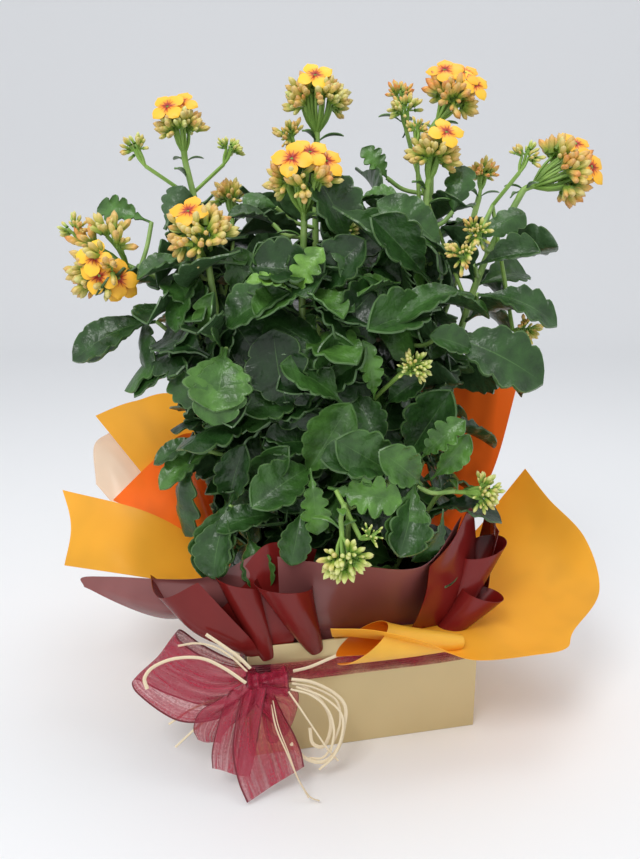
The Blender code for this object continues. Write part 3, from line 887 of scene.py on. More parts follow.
def film_roll(name, colour, root, mouth, root_radius, mouth_radius, start, sweep, slant, look=None):
    """A cone of film from its root to its mouth, turned from start through sweep degrees."""
    low, high = corner_points([root, mouth])
    axis = high - low
    turn = axis.to_track_quat("Z", "Y").to_matrix()

    def surface(u, v):
        angle = math.radians(start + sweep * u)
        along = v * (1 - slant * (0.5 + 0.5 * math.sin(angle)) * v)
        spiral = 1 - 0.22 * u
        radius = (root_radius + (mouth_radius - root_radius) * v**0.8) * spiral * MM
        return low + axis * along + turn @ Vector((
            math.cos(angle) * radius, math.sin(angle) * radius, 0))

    roll = bent_sheet(name, 56, 30, rippled(surface, 0.6 * MM, len(name)), FILM)
    put(roll, colour, [FILM_LOOKS[look or colour]], smooth=60)


ROLL = "burgundy_roll"
film_roll("burgundy_roll_corner", "burgundy_film", (40, 2, 64), (17, -10, 120), 5, 16, 150, 330, 0.32,
          ROLL)
film_roll("burgundy_roll_left", "burgundy_film", (12, 4, 62), (-4, 2, 118), 6, 14, 120, 280, 0.25,
          ROLL)
film_roll("burgundy_roll_right", "burgundy_film", (118, 0, 66), (146, 6, 126), 6, 14, 60, 320, 0.3,
          ROLL)
film_roll("burgundy_roll_right_low", "burgundy_film", (116, -4, 68), (142, -8, 98), 6, 12, 60, 300,
          0.3, ROLL)
film_roll("yellow_roll_front", "yellow_film", (118, -24, 74), (46, -30, 86), 4, 12, 280, 345, 0.35,
          "yellow_roll")


def film_patch(name, colour, ribs, columns, rows, ripple, look="burgundy_roll"):
    """A loose flap of film over ribs, each a list of points from the same corner."""
    curves = [corner_points(points) for points in ribs]

    def surface(u, v):
        return between([between(curve, v) for curve in curves], u)

    flap = bent_sheet(name, columns, rows, rippled(surface, ripple * MM, len(name)), FILM)
    put(flap, colour, [FILM_LOOKS[look]], smooth=60)


film_patch("burgundy_flap_corner", "burgundy_film", [
    [(3, 8, 60), (-6, 10, 78), (-12, 8, 92), (-16, 8, 104)],
    [(3, 5, 60), (-2, 4, 80), (-4, 2, 98), (-5, 3, 113)],
    [(6, 3, 60), (4, 0, 82), (6, -2, 106), (10, 1, 130)],
    [(14, 3, 60), (16, 0, 84), (20, 0, 108), (24, 4, 130)],
    [(26, 3, 60), (28, 0, 84), (34, -2, 106), (40, 0, 126)],
], 48, 36, 1.5)
film_patch("burgundy_flap_left", "burgundy_film", [
    [(1, 30, 62), (-12, 31, 75), (-32, 31, 88), (-52, 30, 106)],
    [(1, 14, 62), (-12, 11, 71), (-31, 7, 84), (-49, 4, 108)],
    [(2, 3, 62), (-8, -3, 72), (-25, -5, 86), (-42, -8, 110)],
    [(8, 1, 62), (2, -5, 78), (-10, -8, 95), (-26, -8, 116)],
], 36, 36, 1.5)
film_patch("burgundy_flap_right", "burgundy_film", [
    [(92, 3, 62), (94, -14, 84), (97, -22, 104), (97, -26, 122)],
    [(106, 3, 62), (110, -10, 86), (113, -14, 112), (116, -12, 130)],
    [(120, 3, 62), (124, -4, 88), (127, -4, 118), (130, -3, 145)],
    [(132, 5, 62), (136, 6, 84), (138, 8, 104), (139, 10, 120)],
], 40, 36, 1.5)

# %% [markdown]
# ## The organza ribbon
# A sheer ribbon goes once round the box and is crumpled lengthwise, so that it is much narrower
# than it was cut. A band is a closed strip of grid round the four walls, with creases that run
# along it.

# %% Ribbon band
BAND_LOW, BAND_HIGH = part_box("ribbon_band")
BAND_HALF = BOX_HALF + 0.5 * MM


def band_place(u, v):
    """u goes once round the box from its front left corner, v up the crumpled ribbon."""
    side, f = divmod(u * 4, 1)
    corners = [(-1, -1), (1, -1), (1, 1), (-1, 1), (-1, -1)]
    side = min(int(side), 3)
    if u >= 1:
        f = 1.0
    x = corners[side][0] * (1 - f) + corners[side + 1][0] * f
    y = corners[side][1] * (1 - f) + corners[side + 1][1] * f
    taper = 1 - 0.28 * f if side == 0 else 0.72
    low, high = BAND_LOW.z + 1 * MM, BAND_HIGH.z - 1 * MM
    middle = high - (high - low) / 2 * taper
    crease = abs(math.sin(9 * math.pi * v + 2.0 * math.sin(11 * u) + 1.2 * math.sin(31 * u)))
    out = BAND_HALF + (0.3 + 1.1 * crease) * MM
    wander = 0.9 * MM * math.sin(23 * u + 3 * v)
    height = middle + (v - 0.5) * (high - low) * taper + wander
    return Vector((x * out, y * out, height))


band = bent_sheet("ribbon_band_crumpled", 160, 26, band_place, 0.15 * MM)
put(band, "organza", [ORGANZA_LOOK], ["ribbon_band"], smooth=30)

# %% [markdown]
# ## The bow
# The bow is a few turns of the same ribbon, pinched together at the box's front left corner. Each
# piece is a strip between two edges. The points of the edges are in millimetres from that corner
# at the floor, and pleats run along the strip, deepest where it is pinched.

# %% Bow


def ribbon_strip(name, edge_a, edge_b, columns, rows, pleats, depth, pinched, seed):
    """A strip from edge a to edge b, pleated along its length where pinched(v) is near 1."""
    a, b = corner_points(edge_a), corner_points(edge_b)
    shift = random.Random(seed).uniform(0, 6.3)

    def surface(u, v):
        return between(a, v).lerp(between(b, v), u)

    def place(u, v):
        here = surface(u, v)
        normal = normal_at(surface, u, v)
        fold = math.asin(math.sin(pleats * 2 * math.pi * u + shift)) / 1.57
        soft = math.sin(2.2 * math.pi * u + 7 * v + shift)
        return here + normal * depth * (fold * pinched(v) + 0.5 * soft) * MM

    strip = bent_sheet(name, columns, rows, place, 0.12 * MM)
    put(strip, "organza", [ORGANZA_LOOK], smooth=50)
    return strip


loop_left = ribbon_strip(
    "bow_loop_left_organza",
    [(-2, -16, 67), (-12, -12, 68), (-24, -6, 71), (-37, 2, 79), (-36, 12, 79), (-26, 12, 70),
     (-12, 2, 66), (4, -10, 64)],
    [(-6, -18, 50), (-18, -18, 40), (-40, -12, 38), (-61, 0, 50), (-62, 10, 52), (-46, 12, 40),
     (-22, 2, 36), (0, -12, 50)],
    24, 80, 3, 1.4, lambda v: 1 - blend01(0.05, 0.4, v) * (1 - blend01(0.6, 0.95, v)), 1)
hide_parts("bow_loop_left")
ribbon_strip(
    "bow_wing_left_organza",
    [(-4, -19, 60), (-16, -20, 54), (-28, -17, 46), (-32, -15, 34), (-30, -14, 26)],
    [(4, -20, 50), (-2, -22, 44), (-10, -20, 38), (-16, -18, 30), (-18, -17, 24)],
    16, 40, 2, 1.2, lambda v: 1 - blend01(0.1, 0.6, v), 4)

tail = ribbon_strip(
    "bow_tail_organza",
    [(-12, -20, 58), (-16, -21, 48), (-20, -22, 36), (-23, -25, 26), (-23, -27, 17)],
    [(8, -21, 58), (6, -22, 48), (3, -23, 34), (0, -25, 20), (-3, -27, 8)],
    20, 60, 3, 1.5, lambda v: 1 - blend01(0.1, 0.8, v), 2)
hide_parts("bow_tail")
ribbon_strip(
    "bow_tail_long_organza",
    [(-6, -19, 54), (-10, -22, 38), (-12, -26, 24), (-10, -33, 12), (-6, -38, 2)],
    [(12, -19, 52), (17, -22, 40), (22, -25, 30), (25, -29, 22), (26, -33, 15)],
    24, 60, 4, 1.8, lambda v: 1 - blend01(0.2, 1.0, v), 5)

loop_right = ribbon_strip(
    "bow_loop_right_organza",
    [(4, -17, 60), (14, -18, 56), (25, -18, 52), (25, -19, 40), (20, -19, 28), (12, -18, 26),
     (10, -14, 40), (10, -12, 54)],
    [(2, -20, 48), (8, -22, 40), (12, -23, 34), (14, -23, 28), (13, -20, 22), (8, -17, 22),
     (6, -14, 32), (6, -12, 48)],
    14, 50, 3, 1.2, lambda v: 1 - blend01(0.05, 0.5, v) * (1 - blend01(0.7, 0.95, v)), 3)
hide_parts("bow_loop_right")


def knot_place(u, v):
    """A crumpled wrap round the knot: v goes round it, u along it."""
    turn = 2 * math.pi * v
    low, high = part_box("bow_knot")
    middle, half = (low + high) / 2, (high - low) / 2
    crease = 1 + 0.10 * math.sin(5 * turn + 3 * u) + 0.08 * math.sin(9 * u * math.pi)
    pinch = 0.72 + 0.3 * (2 * u - 1) ** 2
    x = (2 * u - 1) * half.x
    return middle + Vector((x, math.cos(turn) * half.y * crease * pinch,
                            math.sin(turn) * half.z * crease * pinch))


knot = bent_sheet("bow_knot_organza", 24, 48, knot_place, 0.2 * MM)
put(knot, "organza", [ORGANZA_LOOK], ["bow_knot"], smooth=50)

# %% [markdown]
# ## The raffia
# Raffia is dry palm leaf, torn into flat strands. Each strand follows the route of its CAD cord,
# from the box's front left corner, as a flat tube that twists slowly.

# %% Raffia
RAFFIA = {
    "raffia_loop_outer": [(22, -18, 59), (33, -20, 57), (45, -22, 50), (51, -24, 42), (50, -26, 31),
                          (46, -28, 19), (38, -28, 12), (28, -27, 15), (20, -26, 25)],
    "raffia_loop_inner": [(23, -14, 54), (30, -15, 51), (38, -18, 44), (43, -20, 35), (43, -22, 26),
                          (39, -23, 18), (33, -22, 20), (32, -19, 28)],
    "raffia_tail": [(10, -21, 47), (12, -27, 36), (17, -34, 24), (22, -40, 12), (27, -43, 4),
                    (32, -45, 2)],
    "raffia_loop_left": [(-3, -18, 60), (-14, -16, 69), (-26, -15, 76), (-40, -14, 77),
                         (-51, -13, 73), (-56, -13, 67), (-55, -14, 61)],
    "raffia_stub": [(24, -12, 60), (33, -13, 62), (43, -14, 66), (54, -16, 71)],
    "raffia_strand_left": [(0, -14, 66), (-6, -13, 73), (-14, -12, 80), (-23, -10, 87)],
}
RAFFIA_WIDTH = 2.0 * MM
RAFFIA_FLAT = 0.35


def raffia_strand(name, points, replaced, width=RAFFIA_WIDTH):
    route = corner_points(points)
    line = [between(route, i / 60) for i in range(61)]
    length = line_length(line)
    shape = tube_shape(line, [width / 2] * 61, 8, flat=RAFFIA_FLAT, side=(0, 0, 1))
    strand = build(name, [(shape, Matrix.Identity(4), 0.5)])
    put(strand, "raffia", [RAFFIA_LOOK], replaced, smooth=60)
    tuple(line[0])
    return length


for name, points in RAFFIA.items():
    length = raffia_strand(name + "_strand", points, [name])
    print(name, round(length * 1000), "mm")

MORE_RAFFIA = {
    "raffia_front_1": [(22, -19, 57), (34, -21, 54), (46, -23, 46), (48, -25, 34), (44, -26, 22),
                       (38, -27, 14), (30, -26, 14)],
    "raffia_front_2": [(21, -21, 55), (32, -23, 51), (41, -25, 42), (44, -27, 30), (42, -28, 18)],
    "raffia_front_3": [(24, -21, 56), (38, -24, 50), (48, -27, 40), (48, -29, 28), (43, -30, 16),
                       (35, -30, 9)],
    "raffia_front_4": [(20, -20, 53), (27, -24, 42), (34, -26, 30), (40, -28, 20), (46, -29, 12)],
    "raffia_tail_second": [(11, -22, 50), (13, -28, 38), (17, -35, 27), (21, -41, 15),
                           (26, -45, 5)],
    "raffia_left_low": [(-8, -15, 52), (-20, -12, 48), (-32, -10, 43), (-45, -11, 36)],
    "raffia_left_lower": [(-10, -16, 48), (-20, -14, 41), (-30, -14, 34), (-42, -16, 25)],
    "raffia_left_up": [(-2, -15, 65), (-9, -12, 72), (-18, -9, 78), (-28, -6, 80), (-38, -3, 78)],
}
for name, points in MORE_RAFFIA.items():
    length = raffia_strand(name, points, [], 1.3 * MM)
    print(name, round(length * 1000), "mm")

# %% [markdown]
# ## The stems
# Each flowering stem is a round green shoot that gets a little thinner upwards. Its line is read
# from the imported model's tube.

# %% Stems
STEMS = ["stem_top_left", "stem_left", "stem_mid_left", "stem_top_centre", "stem_centre",
         "stem_top_right", "stem_inner_right", "stem_right", "stem_rear_right", "stem_low_right",
         "stem_low_front"]
STEM_LINES = {name: centreline(name, 6 * MM) for name in STEMS}
for name in STEMS:
    line = [between(STEM_LINES[name], i / 32) for i in range(33)]
    slim = 0.65 if "low" in name else 1.0
    radii = [(2.5 - 0.6 * i / 32) * slim * MM for i in range(33)]
    stem = build(name + "_shoot", [(tube_shape(line, radii, 10), Matrix.Identity(4), 0.5)])
    put(stem, "stem", [STEM_LOOK], [name], smooth=60)

# %% [markdown]
# ## One bud, one open flower and one leaf
# A bud is a six-sided ball, drawn out into a slim urn with a pointed tip. An open flower has four
# broad petals that meet in the middle. Both are kept to few faces, because there are hundreds.

# %% Small shapes


def bud_shape(look):
    bpy.ops.object.select_all(action="DESELECT")
    bpy.ops.mesh.primitive_uv_sphere_add(segments=6, ring_count=7, radius=1)
    obj = bpy.context.object
    profile = [(0.0, 0.06), (0.14, 0.17), (0.30, 0.13), (0.52, 0.165), (0.72, 0.175), (0.88, 0.11),
               (1.0, 0.0)]
    heights = []
    for vertex in obj.data.vertices:
        height = 0.5 - math.asin(max(-1, min(1, vertex.co.z))) / math.pi
        height = 1 - height
        for (h0, r0), (h1, r1) in zip(profile, profile[1:]):
            if h0 <= height <= h1:
                radius = r0 + (r1 - r0) * (height - h0) / (h1 - h0)
        flat = math.hypot(vertex.co.x, vertex.co.y)
        if flat > 1e-6:
            vertex.co.x *= radius / flat
            vertex.co.y *= radius / flat
        vertex.co.z = height
        heights.append(height)
    return read_shape(obj, lambda i: (0.5, heights[i]), look)


PETAL_PLACES = [0.0, 0.15, 0.35, 0.55, 0.75, 0.9, 1.0]
PETAL_HALVES = [0.07, 0.19, 0.36, 0.44, 0.38, 0.22, 0.0]


def flower_shape(look):
    """Four petals round the throat. The flower is 2 across and faces +Z."""
    shapes = []
    for k in range(4):
        bpy.ops.object.select_all(action="DESELECT")
        bpy.ops.mesh.primitive_grid_add(x_subdivisions=4, y_subdivisions=6, size=1)
        obj = bpy.context.object
        uvs = []
        for vertex in obj.data.vertices:
            u, v = vertex.co.x + 0.5, vertex.co.y + 0.5
            half = float(np.interp(v, PETAL_PLACES, PETAL_HALVES))
            across = (u - 0.5) * 2
            lift = 0.02 + 0.12 * v - 0.20 * v * v - 0.07 * across * across
            vertex.co = (across * half, 0.04 + 0.96 * v, lift)
            uvs.append((u, v))
        wall = obj.modifiers.new("wall", "SOLIDIFY")
        wall.thickness = 0.03
        bpy.ops.object.modifier_apply(modifier="wall")
        turn = Matrix.Rotation(math.radians(90 * k), 4, "Z")
        obj.data.transform(turn)
        shapes.append(read_shape(obj, lambda i: uvs[i % len(uvs)], look))
    points = np.concatenate([shape.points for shape in shapes])
    uvs = np.concatenate([shape.uvs for shape in shapes])
    faces, start = [], 0
    for shape in shapes:
        faces += [tuple(i + start for i in face) for face in shape.faces]
        start += len(shape.points)
    return Shape(points, faces, uvs, look=look)


LEAF_OUTLINE = [(0.0, 0.06), (0.06, 0.12), (0.15, 0.30), (0.3, 0.60), (0.45, 0.84), (0.6, 0.98),
                (0.72, 1.0), (0.83, 0.90), (0.92, 0.66), (0.97, 0.40), (1.0, 0.0)]


def leaf_shape(width, lobes, cut, droop, fold, wave, thickness=0.026, columns=6, rows=28):
    """A leaf of length 1 along +Y, facing +Z: a stalk, then a blade with rounded lobes."""
    bpy.ops.object.select_all(action="DESELECT")
    bpy.ops.mesh.primitive_grid_add(x_subdivisions=columns, y_subdivisions=rows, size=1)
    obj = bpy.context.object
    uvs = []
    stalk = 0.14
    places, halves = zip(*LEAF_OUTLINE)
    for vertex in obj.data.vertices:
        u, v = vertex.co.x + 0.5, vertex.co.y + 0.5
        s = (u - 0.5) * 2
        v = 1 - (1 - v) ** 1.12
        t = max(0.0, (v - stalk) / (1 - stalk))
        half = width / 2 * float(np.interp(t, places, halves))
        if lobes and 0 < t < 1:
            phase = (lobes * t) % 1.0
            arc = math.sin(math.pi * phase**1.08) ** 0.6
            half *= 1 + cut * (arc - 0.75) * s * s * blend01(0.04, 0.2, t)
        x = s * half
        y = v - 0.10 * abs(s) * t * (1 - t)
        z = fold * abs(x) * (0.3 + 0.7 * abs(s)) + 0.05 * math.sin(math.pi * v) - droop * t * t
        z += wave * half * s * s * math.sin(lobes * 2 * math.pi * t + (1.5 if s > 0 else 0))
        vertex.co = (x, y, z)
        uvs.append((u, v))
    count = len(obj.data.vertices)
    wall = obj.modifiers.new("wall", "SOLIDIFY")
    wall.thickness = thickness
    wall.offset = -1
    bpy.ops.object.modifier_apply(modifier="wall")
    shape = read_shape(obj, lambda i: uvs[i % count], first_layer=count)
    shape.width = width
    return shape


def leaf_matrix(base, tip, facing, width, form):
    """A matrix that lays a leaf from its base to its tip, this wide, facing this way."""
    along = tip - base
    side = along.cross(Vector(facing)).normalized()
    upper = side.cross(along).normalized()
    across = width / form.width
    turn = Matrix((side * across, along, upper * along.length)).transposed().to_4x4()
    return Matrix.Translation(base) @ turn


BUD = bud_shape(1)
FLOWER = flower_shape(2)
LEAF_SHAPES = [
    leaf_shape(0.68, 5, 0.26, 0.14, 0.50, 0.05),
    leaf_shape(0.64, 5, 0.28, 0.30, 0.30, 0.08),
    leaf_shape(0.62, 4, 0.28, 0.04, 0.75, 0.05),
    leaf_shape(0.68, 4, 0.30, 0.40, -0.30, 0.10),
    leaf_shape(0.60, 5, 0.80, 0.20, 0.35, 0.12),
]
NARROW_LEAF = leaf_shape(0.26, 0, 0.0, 0.25, 0.5, 0.0, 0.05, 4, 10)
print("bud", len(BUD.faces), "flower", len(FLOWER.faces), "leaf", len(LEAF_SHAPES[0].faces))

# %% [markdown]
# ## The flower heads
# A head is a little tree: the stem splits into branches over a dome, and each branch ends in a
# bunch of buds. An open flower has its own stalk, and no bud grows where one is open. Narrow
# bracts sit under the head. The dome is about the way that the head faces. The table gives for
# each head that way, its radius and half height, the number of buds, how warm their colour is,
# the directions of its open flowers, and its side clusters as (place from the head's middle,
# radius, buds).

# %% Flower heads
HEADS = {
    "flower_head_top_left": ((-0.1, -0.1, 1), 15, 13, 34, 0.35,
                             [(-0.5, -0.5, 0.8), (0.0, -0.2, 1.0)],
                             [((-26, 0, -12), 9, 12), ((28, 4, -10), 8, 12)]),
    "flower_head_left": ((-0.8, -0.5, 0.3), 24, 14, 44, 0.55,
                         [(-0.3, -1.0, 0.1), (-0.2, -0.9, -0.5), (0.5, -0.9, -0.7),
                          (0.6, -0.7, -1.1)],
                         [((-16, 6, 16), 8, 10)]),
    "flower_head_mid_left": ((-0.2, -0.5, 0.8), 18, 13, 46, 0.45, [(-0.5, -0.3, 1.0)], []),
    "flower_head_rear_left": ((-0.1, 0.1, 1), 12, 10, 26, 0.6, [], []),
    "flower_head_top_centre": ((0, -0.1, 1), 19, 15, 60, 0.55,
                               [(-0.2, -0.6, 0.9)], [((-16, 0, -18), 9, 14)]),
    "flower_head_centre": ((-0.1, -0.3, 1), 19, 15, 46, 0.6,
                           [(-0.5, -0.7, 0.8), (0.15, -0.45, 1.0), (0.75, -0.4, 0.8)],
                           [((24, 4, -22), 8, 12)]),
    "flower_head_top_right": ((0.5, -0.2, 0.9), 16, 14, 40, 0.75,
                              [(0.8, -0.6, 0.5), (0.5, -0.4, 1.0), (-0.3, -0.2, 1.0)],
                              [((-28, 0, -8), 9, 14)]),
    "flower_head_upper_right": ((-0.1, 0, 1), 8, 9, 12, 0.8, [], []),
    "flower_head_inner_right": ((0.1, -0.2, 1), 14, 13, 34, 0.7,
                                [(0.3, -0.6, 0.9)], [((-10, 0, 14), 6, 8)]),
    "flower_head_right": ((0.8, -0.3, 0.4), 20, 16, 56, 0.65,
                          [(0.5, -0.2, 1.0), (1.0, -0.6, 0.2)],
                          [((-22, 0, 8), 8, 10), ((-56, -16, -34), 8, 12),
                           ((-76, -44, -46), 8, 12), ((-20, -10, -88), 8, 12)]),
    "bud_head_rear_right": ((0.2, 0.1, 1), 10, 9, 22, 0.7, [], []),
    "bud_head_front": ((0.2, -0.9, 0.3), 9, 13, 24, 0.05, [], []),
    "bud_head_low_right": ((0.7, -0.8, 0.2), 10, 10, 26, 0.0, [], []),
    "bud_head_low_front": ((0, -0.5, -0.8), 13, 10, 34, 0.0, [], [((14, 2, 8), 6, 6)]),
}
BUD_LENGTH = 11.0 * MM
GOLDEN_TURN = 2.39996
FLOWER_RADIUS = 11.0 * MM


def cluster(parts, middle, facing, radius, half_height, count, warmth, chance, foot=None,
            open_flowers=()):
    """Branches over a dome, each with a bunch of buds, but none where a flower is open."""
    facing = Vector(facing).normalized()
    side = facing.orthogonal().normalized()
    other = facing.cross(side)
    foot = foot or middle - facing * half_height
    count = int(count * 3.0)
    groups = max(3, round(count / 9))
    full = min(BUD_LENGTH, 0.8 * radius) * (0.8 if warmth < 0.1 else 1)
    for group in range(groups):
        spread = math.acos(1 - 1.12 * (group + 0.5) / groups)
        turn = group * GOLDEN_TURN + chance.uniform(-0.3, 0.3)
        flat = side * math.cos(turn) + other * math.sin(turn)
        way = flat * math.sin(spread) + facing * math.cos(spread)
        share = chance.uniform(0.85, 1.12)
        out = max(0.25, 1.16 - (full + 2 * MM) / radius) * share
        hub = middle + flat * math.sin(spread) * radius * out
        hub += facing * math.cos(spread) * half_height * out
        bend = foot.lerp(hub, 0.5) + flat * radius * 0.08
        line = [between([foot, bend, hub], k / 4) for k in range(5)]
        parts.append(tube_part(line, 0.9 * MM, 5))
        ripe = warmth + chance.uniform(-0.35, 0.25)
        for k in range(count // groups):
            lean = Vector([chance.uniform(-1, 1) for _ in range(3)])
            ahead = (way + lean * 0.75 + facing * 0.2).normalized()
            root = hub + ahead * chance.uniform(1.0, 4.0) * MM
            length = full * chance.uniform(0.6, 1.08)
            if any((root + ahead * length - spot).length < 7.5 * MM for spot in open_flowers):
                continue
            tone = min(1.0, max(0.0, ripe + chance.uniform(-0.2, 0.2)))
            parts.append((BUD, turned_to(ahead, root, length, k), tone))
            line = [hub.lerp(root, f / 2) for f in range(3)]
            parts.append(tube_part(line, 0.6 * MM, 4))


HEAD_STEMS = {
    "flower_head_rear_left": ("stem_top_left", 0.62), "flower_head_upper_right": ("stem_right", 0.6),
    "bud_head_front": ("stem_centre", 0.3), "bud_head_rear_right": ("stem_rear_right", 0.95),
}
bracts = []
for number, (name, row) in enumerate(HEADS.items()):
    facing, radius, half_height, count, warmth, flowers, sides = row
    chance = random.Random(100 + number)
    low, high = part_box(name)
    middle = (low + high) / 2
    ahead = Vector(facing).normalized()
    foot = middle - ahead * half_height * MM
    parts = []
    stem, share = HEAD_STEMS.get(name, ("stem_" + name.split("_head_")[1], 0.95))
    lower = between(STEM_LINES[stem], share)
    upper = lower.lerp(foot - ahead * 12 * MM, 0.7)
    if share > 0.9:
        upper = between(STEM_LINES[stem], 1.0)
    line = [between([lower, upper, foot + ahead * 3 * MM], k / 8) for k in range(9)]
    thick = (1.9 if name.startswith("flower") and share > 0.9 else 1.3) * MM
    parts.append(tube_part(line, thick, 8))
    for k in range(3):
        way = Vector((math.cos(2.1 * k + number), math.sin(2.1 * k + number), 0.5))
        start = foot - ahead * (4 + 9 * (k // 2)) * MM
        bract = leaf_matrix(start, start + way * chance.uniform(9, 15) * MM, (0, 0, 1), 4 * MM,
                            NARROW_LEAF)
        bracts.append((NARROW_LEAF, bract, 0.75))
    places = [middle + Vector(direction).normalized() * (min(radius, half_height) * 0.8 + 6) * MM
              for direction in flowers]
    cluster(parts, middle, facing, radius * MM, half_height * MM, count, warmth, chance,
            open_flowers=places)
    for direction, place in zip(flowers, places):
        toward = Vector(direction).normalized()
        size = FLOWER_RADIUS * chance.uniform(0.92, 1.05)
        roll = chance.uniform(0, 1.5)
        look = (toward * 0.6 + Vector((-0.15, -0.75, 0.35))).normalized()
        if toward.y > 0:
            look = toward
        parts.append((FLOWER, turned_to(look, place, size, roll), chance.uniform(0, 0.5)))
        line = [foot.lerp(place, k / 3) for k in range(4)]
        parts.append((tube_shape(line, [0.9 * MM] * 3 + [1.3 * MM], 5), Matrix.Identity(4), 0.5))
    for offset, small, buds in sides:
        spot = middle + Vector(offset) * MM
        branch = foot - ahead * 24 * MM
        up = (spot - branch).normalized() + Vector((0, 0, 1))
        cluster(parts, spot, up, small * MM, small * MM, buds, warmth * 0.7, chance,
                spot - up.normalized() * small * MM)
        end = spot - up.normalized() * small * MM
        line = [between([branch, branch.lerp(end, 0.55), end], k / 4) for k in range(5)]
        parts.append(tube_part(line, 1.2 * MM, 6))
    head = build(name + "_cluster", parts)
    slot = "petals" if name.startswith("flower") else "buds"
    put(head, slot, [STALK_LOOK, BUD_LOOK, PETAL_LOOK], [name], smooth=50)
put(build("small_bracts", bracts), "leaf", [LEAF_LOOK], smooth=50)

# %% [markdown]
# ## The leaves
# The leaves are thick and shiny, with rounded lobes. The largest are single pieces, placed like
# their CAD nodes, from where the leaf starts to its tip, in millimetres over the soil. The others
# grow in pairs up the stems, each pair turned across the one below, and fill the crown.

# %% Leaves
LEAVES = {
    "leaf_left": ((-112, 0, 166), (-158, -18, 156), 26, (0, -0.7, 0.7)),
    "leaf_left_low": ((-88, -11, 142), (-127, -19, 136), 24, (0, -0.3, 1)),
    "leaf_left_spike": ((-112, 19, 223), (-144, 25, 234), 18, (0, -1, 0.4)),
    "leaf_left_drooping": ((-92, -30, 96), (-116, -40, 52), 26, (-0.8, -0.5, 0.3)),
    "leaf_left_bottom": ((-76, -52, 66), (-90, -71, 34), 28, (-0.5, -0.7, 0.4)),
    "leaf_left_bright": ((-75, -46, 154), (-84, -70, 122), 34, (0, -0.8, 0.6)),
    "leaf_right_upper": ((68, -44, 198), (95, -66, 206), 20, (0, -0.8, 0.6)),
    "leaf_right": ((66, -54, 182), (102, -80, 176), 26, (0, -0.7, 0.7)),
    "leaf_right_dark": ((42, -58, 160), (86, -96, 146), 38, (0, -0.9, 0.4)),
    "leaf_front_low": ((12, -74, 84), (-22, -90, 108), 32, (0, -0.6, 0.8)),
    "leaf_front_right": ((22, -84, 82), (8, -102, 50), 26, (0, -0.9, 0.4)),
}
LEAF_FORMS = {"leaf_left_spike": 4, "leaf_left": 1, "leaf_right": 1, "leaf_right_dark": 1}


def over_soil(place):
    return Vector(place) * MM + Vector((0, 0, SOIL_TOP))


for number, (name, (start, end, width, facing)) in enumerate(LEAVES.items()):
    form = LEAF_SHAPES[LEAF_FORMS.get(name, number % 4)]
    tone = {"leaf_left_bright": 0.55, "leaf_left_spike": 0.6}.get(name, 0.35)
    lay = leaf_matrix(over_soil(start), over_soil(end), facing, width * 0.85 * MM, form)
    leaf = build(name + "_blade", [(form, lay, tone)])
    put(leaf, "leaf", [LEAF_LOOK], [name], smooth=50)

# %% [markdown]
# The leaves of the crown's front show best, so each has a row of its own: start, tip, width,
# which way the leaf faces, its tone and its form. The starts and tips were worked out by a helper
# program outside this script, and then changed a little.

